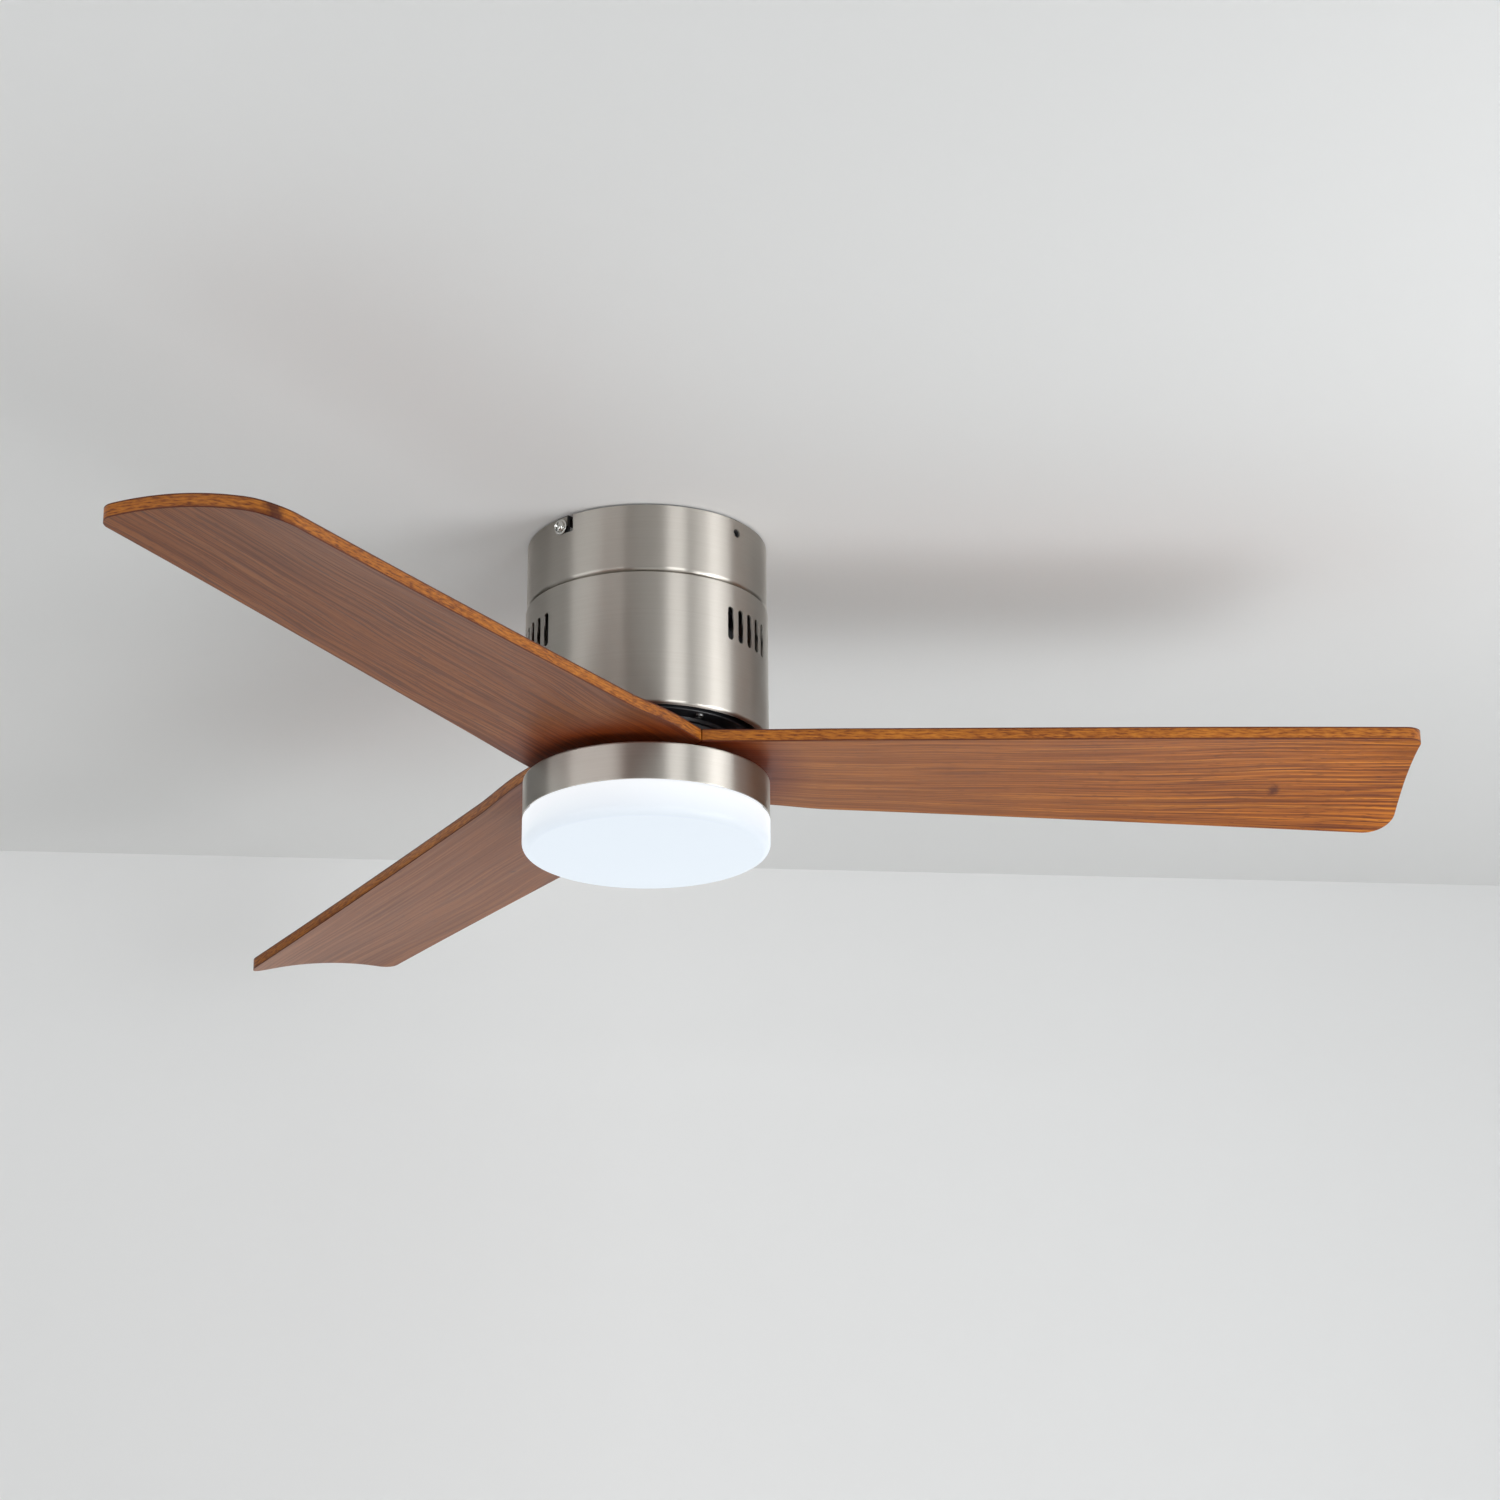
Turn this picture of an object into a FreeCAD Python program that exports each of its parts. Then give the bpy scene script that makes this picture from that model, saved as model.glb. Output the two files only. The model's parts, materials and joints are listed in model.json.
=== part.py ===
import FreeCAD, Part
import math
import os
from FreeCAD import Vector, Placement, Rotation

# Flush-mount ceiling fan with light: three twisted plywood blades turned by a
# direct-drive outer-rotor motor, and a round light kit on the fixed hollow shaft.
# Millimetres. +Z up, origin on the fan's axis in the plane of the ceiling, so the
# whole fan hangs below z = 0. Blade 1 points along +X.

# ---------------------------------------------------------------- dimensions
SWEEP_R = 657.3          # blade tip line, from the axis (52 inch class sweep)
# canopy
CAN_R = 104.9            # outside radius of the canopy wall
CAN_T = 1.2              # sheet thickness
CAN_H = 61.6             # ceiling to canopy floor underside
CAN_LIP = 3.2            # rolled corner radius at the bottom edge
CAN_GAP = 1.2            # rim to ceiling
LSLOT_AZ = [-129.2, 50.8]     # entry legs of the two L slots
LSLOT_W = 6.6
LSLOT_TURN = -5.4        # degrees from the entry leg to the screw
LSLOT_Z = -16.4          # bottom of the slot
SCREW_Z = -9.8           # canopy screw height
HOLE_AZ = [-42.7, 137.3]      # plain screw holes
HOLE_Z = -13.0
HOLE_R = 3.5
# housing
HOU_R = 105.8
HOU_T = 1.2
HOU_TOP = -62.2
HOU_BOT = -181.5
HOU_LIP_R = 101.8        # inner radius of the turned-in lip
SLOT_GROUPS = [-34.0, -158.0, 84.0]
SLOT_PITCH = 6.75        # degrees
SLOT_N = 5
SLOT_W = 6.5
SLOT_TOP, SLOT_BOT = -83.9, -114.2
# shaft and bearings (15 x 35 x 11 ball bearings)
SHAFT_R, BORE_R = 7.5, 5.0
BRG_OR, BRG_W = 17.5, 11.0
BRG_UP = -84.0           # top face of the upper bearing
BRG_LO = -180.0          # top face of the lower bearing
FIT = 0.02               # light fit between drawn neighbours
# motor
STAT_R, STAT_TOP, STAT_BOT = 75.2, -114.0, -138.0
GAP = 0.8
MAG_T = 4.0
IRON_T = 4.0
POLES, TEETH = 16, 12
# rotor
COV_R = 88.0
PLATE_R = 93.5
BLADE_TOP = -196.0       # blade seat
BLADE_T = 11.0
BLADE_W = 160.3
BLADE_HOLE = 30.0
SEAM = 1.2               # between neighbouring blade roots
SEAT_GAP = 0.05          # paint and tolerance between a blade and its seat
TE_BOW = 1.9             # the trailing side is drawn in this much at mid span
# light kit
PAN_R, PAN_T = 106.2, 1.2
PAN_TOP, PAN_BOT = -216.1, -249.3
SHADE_R, SHADE_T = 106.3, 2.4
SHADE_TOP, SHADE_BOT = -250.9, -279.6
SHADE_EDGE = 8.0

os.makedirs("parts", exist_ok=True)
Z = Vector(0, 0, 1)


def out(name, shape):
    """Write one node; check that every solid in it is sound."""
    sh = shape
    if not isinstance(sh, Part.Compound) and sh.ShapeType != "Solid":
        sh = Part.makeCompound(sh.Solids) if len(sh.Solids) > 1 else sh.Solids[0]
    if len(sh.Solids) == 1:
        sh = sh.Solids[0]
    ok = all(s.isValid() and s.Volume > 0 for s in sh.Solids)
    sh.exportStep("parts/%s.step" % name)
    bb = sh.BoundBox
    print("%-22s solids %3d vol %9.0f ok %s  z %.1f..%.1f r<=%.1f" % (
        name, len(sh.Solids), sh.Volume, ok, bb.ZMin, bb.ZMax,
        max(abs(bb.XMax), abs(bb.XMin), abs(bb.YMax), abs(bb.YMin))))


def cyl(r, z0, z1, x=0.0, y=0.0):
    lo, hi = min(z0, z1), max(z0, z1)
    return Part.makeCylinder(r, hi - lo, Vector(x, y, lo), Z)


def tube(ro, ri, z0, z1, x=0.0, y=0.0):
    return cyl(ro, z0, z1, x, y).cut(cyl(ri, min(z0, z1) - 1, max(z0, z1) + 1, x, y))


def box(x0, x1, y0, y1, z0, z1):
    return Part.makeBox(x1 - x0, y1 - y0, z1 - z0, Vector(x0, y0, z0))


def rotz(s, a):
    t = s.copy()
    t.rotate(Vector(0, 0, 0), Z, a)
    return t


def moved(s, x, y, z):
    t = s.copy()
    t.translate(Vector(x, y, z))
    return t


def revolve(pts):
    """Solid of revolution from (r, z) corners; a third value rounds that corner."""
    n = len(pts)
    P = [Vector(p[0], 0, p[1]) for p in pts]
    R = [p[2] if len(p) > 2 else 0.0 for p in pts]
    ends = []
    edges = []
    for i in range(n):
        a, b, c = P[i - 1], P[i], P[(i + 1) % n]
        if R[i] <= 0:
            ends.append((b, b, None))
            continue
        u = (a - b).normalize()
        v = (c - b).normalize()
        ang = u.getAngle(v)
        t = R[i] / math.tan(ang / 2)
        p1, p2 = b + u * t, b + v * t
        m = (u + v).normalize()
        ctr = b + m * (R[i] / math.sin(ang / 2))
        mid = ctr - m * R[i]
        ends.append((p1, p2, mid))
    for i in range(n):
        p1, p2, mid = ends[i]
        if mid is not None:
            edges.append(Part.Arc(p1, mid, p2).toShape())
        q1 = ends[(i + 1) % n][0]
        if p2.distanceToPoint(q1) > 1e-6:
            edges.append(Part.LineSegment(p2, q1).toShape())
    w = Part.Wire(Part.__sortEdges__(edges))
    f = Part.Face(w)
    return f.revolve(Vector(0, 0, 0), Z, 360)


def obround(w, length, depth):
    """Slot cutter, long axis Z, centred, along +X from 0 to depth."""
    r = w / 2.0
    h = length / 2.0 - r
    a = Part.makeCylinder(r, depth, Vector(0, 0, h), Vector(1, 0, 0))
    b = Part.makeCylinder(r, depth, Vector(0, 0, -h), Vector(1, 0, 0))
    c = Part.makeBox(depth, w, 2 * h, Vector(0, -r, -h))
    return a.fuse([b, c]).removeSplitter()


def hexprism(af, z0, z1):
    r = af / math.sqrt(3.0)
    pts = [Vector(r * math.cos(math.radians(60 * i)), r * math.sin(math.radians(60 * i)), min(z0, z1)) for i in range(7)]
    f = Part.Face(Part.makePolygon(pts))
    s = f.extrude(Vector(0, 0, abs(z1 - z0)))
    lo, hi = min(z0, z1), max(z0, z1)
    top = Part.makeCylinder(r + 1, 3.0, Vector(0, 0, hi - 1.0), Z).cut(
        Part.makeCone(r + 0.6, af / 2.0 - 2.0, 3.0, Vector(0, 0, hi - 1.0), Z))
    return s.cut(top)


def phillips(w, t, depth):
    """Cross recess cutter pointing down -Z from z = 0."""
    a = Part.makeBox(w, t, depth * 1.01, Vector(-w / 2, -t / 2, -depth))
    b = Part.makeBox(t, w, depth * 1.01, Vector(-t / 2, -w / 2, -depth))
    return a.fuse(b)


def pan_screw(head_r, head_h, shank_r, length):
    """Pan-head cross-recess screw: head underside at z = 0, head up, shank down."""
    s = revolve([(0, head_h), (head_r * 0.9, head_h, head_h * 0.5), (head_r, 0), (shank_r, 0),
                 (shank_r, -length + 0.6), (shank_r - 0.6, -length), (0, -length)])
    return s.cut(moved(phillips(head_r * 1.05, head_r * 0.24, head_h * 0.6), 0, 0, head_h + 0.01))


def aim(s, pos, direction):
    """Turn a part drawn along +Z to point along direction, at pos."""
    t = s.copy()
    t.Placement = Placement(pos, Rotation(Z, direction)).multiply(t.Placement)
    return t


def comp(l):
    return Part.makeCompound(l)


def route(pts, r):
    """Round lead: straight runs joined by tangent arcs, swept as whole solid."""
    P = [Vector(*p) for p in pts]
    edges = []
    cur = P[0]
    for i in range(1, len(P) - 1):
        a, b, c = P[i - 1], P[i], P[i + 1]
        u = (a - b)
        v = (c - b)
        run = min(u.Length, v.Length)
        turn = math.pi - u.getAngle(v)
        R = 0.45 * run / math.tan(turn / 2)
        u.normalize()
        v.normalize()
        t = R * math.tan(turn / 2)
        p1, p2 = b + u * t, b + v * t
        m = (u + v).normalize()
        ctr = b + m * (R / math.cos(turn / 2))
        mid = ctr - m * R
        if cur.distanceToPoint(p1) > 1e-6:
            edges.append(Part.LineSegment(cur, p1).toShape())
        edges.append(Part.Arc(p1, mid, p2).toShape())
        cur = p2
        print("   lead bend radius %.1f" % R)
    edges.append(Part.LineSegment(cur, P[-1]).toShape())
    path = Part.Wire(edges)
    d = (P[1] - P[0]).normalize()
    prof = Part.Wire([Part.Circle(P[0], d, r).toShape()])
    s = path.makePipeShell([prof], True, False)
    L = sum(e.Length for e in edges)
    print("   lead length %.1f volume/section-length %.4f" % (L, s.Volume / (math.pi * r * r * L)))
    return s.Solids[0] if s.Solids else s


# ---------------------------------------------------------------- ceiling bracket
# Pressed steel plate with four down-turned ears for the canopy screws.
BR_T = 2.5
EAR_R = CAN_R - CAN_T - 0.4          # outer face of the ears
EAR_HW = 6.5                          # half width of the ears
EAR_AZ = [LSLOT_AZ[0] + LSLOT_TURN, LSLOT_AZ[1] + LSLOT_TURN] + HOLE_AZ
EAR_Z = [SCREW_Z, SCREW_Z, HOLE_Z, HOLE_Z]
plate = cyl(70, -BR_T, 0)
for az in EAR_AZ:
    arm = box(40, EAR_R, -EAR_HW, EAR_HW, -BR_T, 0)
    ear = box(EAR_R - BR_T, EAR_R + 4, -EAR_HW, EAR_HW, -22, 0)
    a = arm.fuse(ear)
    plate = plate.fuse(rotz(a, az))
plate = plate.common(cyl(EAR_R, -30, 1))
plate = plate.removeSplitter()
cuts = [cyl(15, -BR_T - 1, 1)]
SLOT_X = 41.25                        # half of the 82.5 mm outlet-box spacing
for sx in (-SLOT_X, SLOT_X):
    sl = box(sx - 5.5, sx + 5.5, -2.6, 2.6, -BR_T - 1, 1)
    cuts += [sl, cyl(2.6, -BR_T - 1, 1, sx - 5.5, 0), cyl(2.6, -BR_T - 1, 1, sx + 5.5, 0)]
for az, zz in zip(EAR_AZ, EAR_Z):
    c = Part.makeCylinder(2.55, 14, Vector(EAR_R - 8, 0, zz), Vector(1, 0, 0))
    cuts.append(rotz(c, az))
for a in (90, 270):
    cuts.append(cyl(2.03, -BR_T - 1, 1, 0, 50 if a == 90 else -50))
bracket = plate.cut(cuts)
out("ceiling_bracket", bracket)

es = pan_screw(4.0, 2.6, 2.0, 2.3)
out("earth_screw", aim(es, Vector(0, -50, -BR_T), Vector(0, 0, -1)))

# ---------------------------------------------------------------- canopy
FLOOR_Z = -CAN_H + CAN_T             # inside face of the canopy floor
can = revolve([(CAN_R, -CAN_GAP), (CAN_R, -CAN_H, CAN_LIP), (12.0, -CAN_H), (12.0, FLOOR_Z),
               (CAN_R - CAN_T, FLOOR_Z, CAN_LIP - CAN_T), (CAN_R - CAN_T, -CAN_GAP)])
cuts = []
for az in LSLOT_AZ:
    r = LSLOT_W / 2.0
    leg = box(CAN_R - 6, CAN_R + 3, -r, r, LSLOT_Z, 1)
    cuts.append(rotz(leg, az))
    # short leg and its detent, swept round the wall
    n = 4
    for k in range(n + 1):
        top = -9.6 if k < 2 else -6.6
        s = box(CAN_R - 6, CAN_R + 3, -r, r, LSLOT_Z, top)
        cuts.append(rotz(s, az + LSLOT_TURN * k / n))
for az in HOLE_AZ:
    cuts.append(rotz(Part.makeCylinder(HOLE_R, 12, Vector(CAN_R - 6, 0, HOLE_Z), Vector(1, 0, 0)), az))
HS_R = 62.0                          # housing screw circle
HS_AZ = [0, 90, 180, 270]
for az in HS_AZ:
    cuts.append(rotz(cyl(2.6, -CAN_H - 1, FLOOR_Z + 1, HS_R, 0), az))
for x in (-60.5, 60.5):
    cuts.append(cyl(1.53, -CAN_H - 1, FLOOR_Z + 1, x, 53))
tool = cuts[0].fuse(cuts[1:])
can = can.cut(tool).removeSplitter()
out("canopy", can)

# two pan-head screws with flange washers in the L slots
cs, cw = [], []
for i in (0, 1):
    az = EAR_AZ[i]
    d = Vector(math.cos(math.radians(az)), math.sin(math.radians(az)), 0)
    s = pan_screw(5.0, 3.6, 2.5, 11.0)
    s = rotz(s, 20)
    cs.append(aim(s, d * (CAN_R + 1.6) + Vector(0, 0, SCREW_Z), d))
    w = tube(6.9, 2.6, 0, 1.2)
    cw.append(aim(w, d * (CAN_R + 0.3) + Vector(0, 0, SCREW_Z), d))
out("canopy_screws", comp(cs))
out("canopy_washers", comp(cw))

# ---------------------------------------------------------------- wiring in the canopy
tb = box(-62, -30, -58, -40, -32, -16)
tb = tb.makeFillet(1.2, [e for e in tb.Edges if abs(e.BoundBox.ZLength) < 0.01 and e.BoundBox.ZMin < -31])
tcut = []
for k in range(3):
    x = -56.5 + 10.5 * k
    tcut.append(cyl(2.4, -33, -29, x, -49))
    tcut.append(Part.makeCylinder(2.0, 9, Vector(x, -39, -22), Vector(0, -1, 0)))
tb = tb.cut(tcut)
tb = tb.fuse([box(-52, -50, -50, -48, -16, -BR_T), box(-42, -40, -50, -48, -16, -BR_T)])
out("supply_terminal_block", tb)
ts = [aim(revolve([(0, 1.4), (2.2, 1.4, 0.4), (2.2, 0), (0, 0)]).cut(box(-2.5, 2.5, -0.35, 0.35, 0.8, 2)),
          Vector(-56.5 + 10.5 * k, -49, -29.0), Vector(0, 0, -1)) for k in range(3)]
out("terminal_screws", comp(ts))

rc = box(-56, 56, 31, 75, -56, -30)
rc = rc.makeFillet(3.0, [e for e in rc.Edges if abs(e.BoundBox.ZLength) > 20])
rc = rc.makeFillet(1.5, [e for e in rc.Edges if abs(e.BoundBox.ZMin - e.BoundBox.ZMax) < 0.01 and e.BoundBox.ZMin > -31])
rc = rc.fuse([box(-64, -56, 48, 58, -56, -54), box(56, 64, 48, 58, -56, -54)])
rc = rc.cut([cyl(2.2, -57, -53, -60.5, 53), cyl(2.2, -57, -53, 60.5, 53)])
# the two floor screws of the housing stand clear below the case
rc = rc.cut(cyl(8.0, -57, -52.0, 0, HS_R))
rc = moved(rc, 0, 0, -4.3)
out("receiver_module", rc)
rsw = pan_screw(3.0, 2.0, 1.5, 3.1)
out("receiver_screws", comp([aim(rsw, Vector(x, 53, -58.3), Z) for x in (-60.5, 60.5)]))
RCZ = -4.3

# ---------------------------------------------------------------- mount plate, housing
hou = revolve([(HOU_R, HOU_TOP, 1.6), (HOU_R, HOU_BOT, 3.0), (HOU_LIP_R, HOU_BOT),
               (HOU_LIP_R, HOU_BOT + HOU_T), (HOU_R - HOU_T, HOU_BOT + HOU_T, 1.8),
               (HOU_R - HOU_T, HOU_TOP - HOU_T, 0.4), (18.0, HOU_TOP - HOU_T), (18.0, HOU_TOP)])
cuts = []
slot = obround(SLOT_W, SLOT_TOP - SLOT_BOT, 8)
for g in SLOT_GROUPS:
    for k in range(SLOT_N):
        a = g + (k - (SLOT_N - 1) / 2.0) * SLOT_PITCH
        cuts.append(rotz(moved(slot, HOU_R - 5, 0, (SLOT_TOP + SLOT_BOT) / 2), a))
for az in HS_AZ:
    cuts.append(rotz(cyl(2.6, -66, -60, HS_R, 0), az))
hou = hou.cut(cuts)
out("motor_housing", hou)

MP_T, MP_B = HOU_TOP - HOU_T, HOU_TOP - HOU_T - 4.0     # mount plate faces
mp = tube(75, SHAFT_R + FIT, MP_B, MP_T)
mp = mp.cut([rotz(cyl(2.53, MP_B - 1, MP_T + 1, HS_R, 0), az) for az in HS_AZ] +
            [rotz(cyl(9, MP_B - 1, MP_T + 1, 44, 0), az + 45) for az in HS_AZ])
out("motor_mount_plate", mp)

hs = pan_screw(4.6, 3.0, 2.5, 0.5 + abs(MP_B - FLOOR_Z) + 1.5)
out("housing_screws", comp([aim(rotz(hs, 15), rotz(Part.Vertex(HS_R, 0, FLOOR_Z), az).Point, Z) for az in HS_AZ]))

# ---------------------------------------------------------------- shaft
SH_TOP, SH_BOT = -49.5, -224.5
FL_Z = MP_B                           # flange top bears on the mount plate
shaft = revolve([(SHAFT_R, SH_TOP + 0.0, 0.6), (SHAFT_R, FL_Z), (16, FL_Z), (16, FL_Z - 4), (9.5, FL_Z - 4),
                 (9.5, BRG_UP), (SHAFT_R, BRG_UP), (SHAFT_R, SH_BOT, 0.6), (BORE_R, SH_BOT), (BORE_R, SH_TOP)])
side = box(-20, 0, -2.4, 2.4, -106, -93.4)
side = side.fuse([Part.makeCylinder(2.4, 20, Vector(0, 0, -106), Vector(-1, 0, 0)),
                  Part.makeCylinder(2.4, 20, Vector(0, 0, -93.4), Vector(-1, 0, 0))])
groove = tube(10, SHAFT_R - 0.6, BRG_LO - BRG_W - 1.35, BRG_LO - BRG_W - 0.05)
shaft = shaft.cut([side, groove])
out("motor_shaft", shaft)

W_T = 1.6
out("shaft_washer", tube(14, SHAFT_R + 0.2, FLOOR_Z, FLOOR_Z + W_T))
out("shaft_nut", hexprism(24, FLOOR_Z + W_T, FLOOR_Z + W_T + 8).cut(cyl(SHAFT_R + FIT, -70, -40)))

# ---------------------------------------------------------------- bearings


def bearing(ztop):
    """Deep-groove ball bearing: inner race, outer race, seven balls."""
    zc = ztop - BRG_W / 2
    ri, ro = 10.4, 14.4
    rp, rb = (ri + ro) / 2 + 0.0, 3.1
    inner = revolve([(SHAFT_R + FIT, ztop - 0.0), (ri + 0.0, ztop), (ri, ztop - BRG_W), (SHAFT_R + FIT, ztop - BRG_W)])
    outer = revolve([(ro, ztop), (BRG_OR, ztop, 0.5), (BRG_OR, ztop - BRG_W, 0.5), (ro, ztop - BRG_W)])
    groove_t = Part.makeTorus(rp, rb + 0.06, Vector(0, 0, zc), Z)
    inner = inner.cut(groove_t)
    outer = outer.cut(groove_t)
    balls = [Part.makeSphere(rb, Vector(rp * math.cos(math.radians(a)), rp * math.sin(math.radians(a)), zc))
             for a in [i * 360 / 9.0 for i in range(9)]]
    return inner, outer, comp(balls)


for nm, zt in (("upper", BRG_UP), ("lower", BRG_LO)):
    i, o, b = bearing(zt)
    out(nm + "_bearing_inner_race", i)
    out(nm + "_bearing_outer_race", o)
    out(nm + "_bearing_balls", b)

zc = BRG_LO - BRG_W - 0.1
circ = tube(10.6, SHAFT_R - 0.5, zc - 1.1, zc).cut(rotz(box(0, 20, -3, 3, zc - 3, zc + 2), 40))
out("shaft_circlip", circ)

# ---------------------------------------------------------------- stator
core = tube(30, SHAFT_R + FIT, STAT_BOT, STAT_TOP)
teeth = []
for k in range(TEETH):
    a = 360.0 / TEETH * k + 15
    t = box(28, STAT_R - 3.2, -5.0, 5.0, STAT_BOT, STAT_TOP)
    shoe = tube(STAT_R, STAT_R - 4.5, STAT_BOT, STAT_TOP).common(box(40, 90, -15.5, 15.5, STAT_BOT, STAT_TOP))
    teeth.append(rotz(t.fuse(shoe), a))
core = core.fuse(teeth).removeSplitter()
core = core.cut([cyl(3, STAT_BOT - 1, STAT_TOP + 1, 20 * math.cos(math.radians(a)), 20 * math.sin(math.radians(a)))
                 for a in (45, 165, 285)])
out("stator_core", core)
coils = []
for k in range(TEETH):
    a = 360.0 / TEETH * k + 15
    co = box(36, 68.5, -9.4, 9.4, STAT_BOT - 4.6, STAT_TOP + 4.6)
    # taper the inner end so that neighbours clear
    wedge = Part.Face(Part.makePolygon([Vector(36, -7.6, 0), Vector(68.5, -10.6, 0), Vector(68.5, 10.6, 0), Vector(36, 7.6, 0), Vector(36, -7.6, 0)]))
    co = wedge.extrude(Vector(0, 0, (STAT_TOP - STAT_BOT) + 9.2))
    co = moved(co, 0, 0, STAT_BOT - 4.6)
    co = co.makeFillet(2.4, [e for e in co.Edges if e.BoundBox.ZLength < 0.01 and e.BoundBox.XLength > 20])
    co = co.cut(box(30, 75, -5.15, 5.15, STAT_BOT - 0.15, STAT_TOP + 0.15))
    coils.append(rotz(co, a))
out("stator_windings", comp(coils))

# ---------------------------------------------------------------- rotor
MAG_I = STAT_R + GAP
MAG_O = MAG_I + MAG_T
IRON_O = MAG_O + IRON_T
MAG_TOP, MAG_BOT = STAT_TOP + 2.5, STAT_BOT - 2.5
mags = []
for k in range(POLES):
    seg = tube(MAG_O, MAG_I, MAG_BOT, MAG_TOP)
    wdg = Part.Face(Part.makePolygon([Vector(0, 0, 0), Vector(100, -100 * math.tan(math.radians(10.4)), 0),
                                      Vector(100, 100 * math.tan(math.radians(10.4)), 0), Vector(0, 0, 0)]))
    wdg = moved(wdg.extrude(Vector(0, 0, 60)), 0, 0, MAG_BOT - 10)
    mags.append(rotz(seg.common(wdg), 360.0 / POLES * k))
out("rotor_magnets", comp(mags))
out("rotor_back_iron", tube(IRON_O, MAG_O + FIT, MAG_BOT - 1.5, MAG_TOP + 1.5))

PL_TOP = -176.3
cov = revolve([(COV_R, -92, 4.0), (COV_R, -166), (PLATE_R - 0.5, -166, 1.0), (PLATE_R - 0.5, PL_TOP), (85, PL_TOP), (85, -163),
               (IRON_O + FIT, -160), (IRON_O + FIT, -96), (22, -96), (22, -97.5), (15.2, -97.5), (15.2, -95.3), (BRG_OR + FIT, -95.3),
               (BRG_OR + FIT, -83), (22, -83), (24, -92)])
RS_R, RS_AZ = 88.7, [30 * 2 * k for k in range(6)]
cov = cov.cut([rotz(cyl(2.03, PL_TOP - 1, -167, RS_R, 0), a) for a in RS_AZ])
# cooling windows in the top web
for k in range(6):
    w = box(36, 68, -5.5, 5.5, -99, -90).fuse([cyl(5.5, -99, -90, 36, 0), cyl(5.5, -99, -90, 68, 0)])
    cov = cov.cut(rotz(w, 60 * k + 30))
out("rotor_cover", cov)

BS_T = -192.0                          # inside of the blade seat
pl = revolve([(PLATE_R, PL_TOP), (PLATE_R, -181.6, 1.3), (79, -181.6), (77.5, -184.6, 0.8), (75, -184.6), (74, BLADE_TOP, 1.0),
              (14, BLADE_TOP), (14, BRG_LO - BRG_W - 0.0), (BRG_OR + FIT, BRG_LO - BRG_W),
              (BRG_OR + FIT, -178), (22, -178), (23, BS_T, 2.0), (70, BS_T, 2.0), (71.5, PL_TOP)])
BSC = [(64, 0), (46, 24), (46, -24)]   # blade screw positions in a blade's frame
cuts = [rotz(cyl(2.15, -190, -170, RS_R, 0), a) for a in RS_AZ]
for k in range(3):
    for (x, y) in BSC:
        cuts.append(rotz(cyl(2.53, BLADE_TOP - 2, BS_T + 2, x, y), 120 * k))
pl = pl.cut(cuts)
out("rotor_plate", pl)
rs = pan_screw(3.9, 2.7, 2.0, 11.5)
out("rotor_screws", comp([aim(rotz(rs, 10), rotz(Part.Vertex(RS_R, 0, -181.6), a).Point, Vector(0, 0, -1)) for a in RS_AZ]))

# ---------------------------------------------------------------- blades
U = 1.0 / SWEEP_R


def z_le(x):
    u = max(x, 0) * U
    return BLADE_TOP - BLADE_T + 0.2 + 1.3 * u + 10.1 * u * u - 7.6 * u ** 3


def z_te(x):
    u = max(x, 0) * U
    return BLADE_TOP - BLADE_T + 0.2 - 21.5 * u - 14.6 * u * u + 9.3 * u ** 3


def camber(x):
    u = max(x, 0) * U
    return 8.9 * u * u


def flat(x):
    """0 on the seat, 1 outboard: the root is flat where it is clamped."""
    t = min(max((x - 76.0) / 84.0, 0.0), 1.0)
    return t * t * (3 - 2 * t)


def z_bot(x, s):
    """Underside height at station x; s runs 0 at the leading edge to 1 at the trailing edge."""
    w = (1 - s) * z_le(x) + s * z_te(x) + 4 * camber(x) * s * (1 - s)
    return (1 - flat(x)) * (BLADE_TOP - SEAT_GAP - BLADE_T) + flat(x) * w


def surface(dz):
    """One blade face as an interpolated surface patch."""
    xs = [i * 662.0 / 52 for i in range(53)]
    hw = BLADE_W / 2.0 + 2.0
    rows = []
    for x in xs:
        row = []
        for i in range(11):
            s = i / 10.0
            y = -hw + 2 * hw * s
            sr = (y + BLADE_W / 2.0) / BLADE_W
            row.append(Vector(x, y, z_bot(x, sr) + dz))
        rows.append(row)
    b = Part.BSplineSurface()
    b.interpolate(rows)
    return b.toShape()


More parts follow.
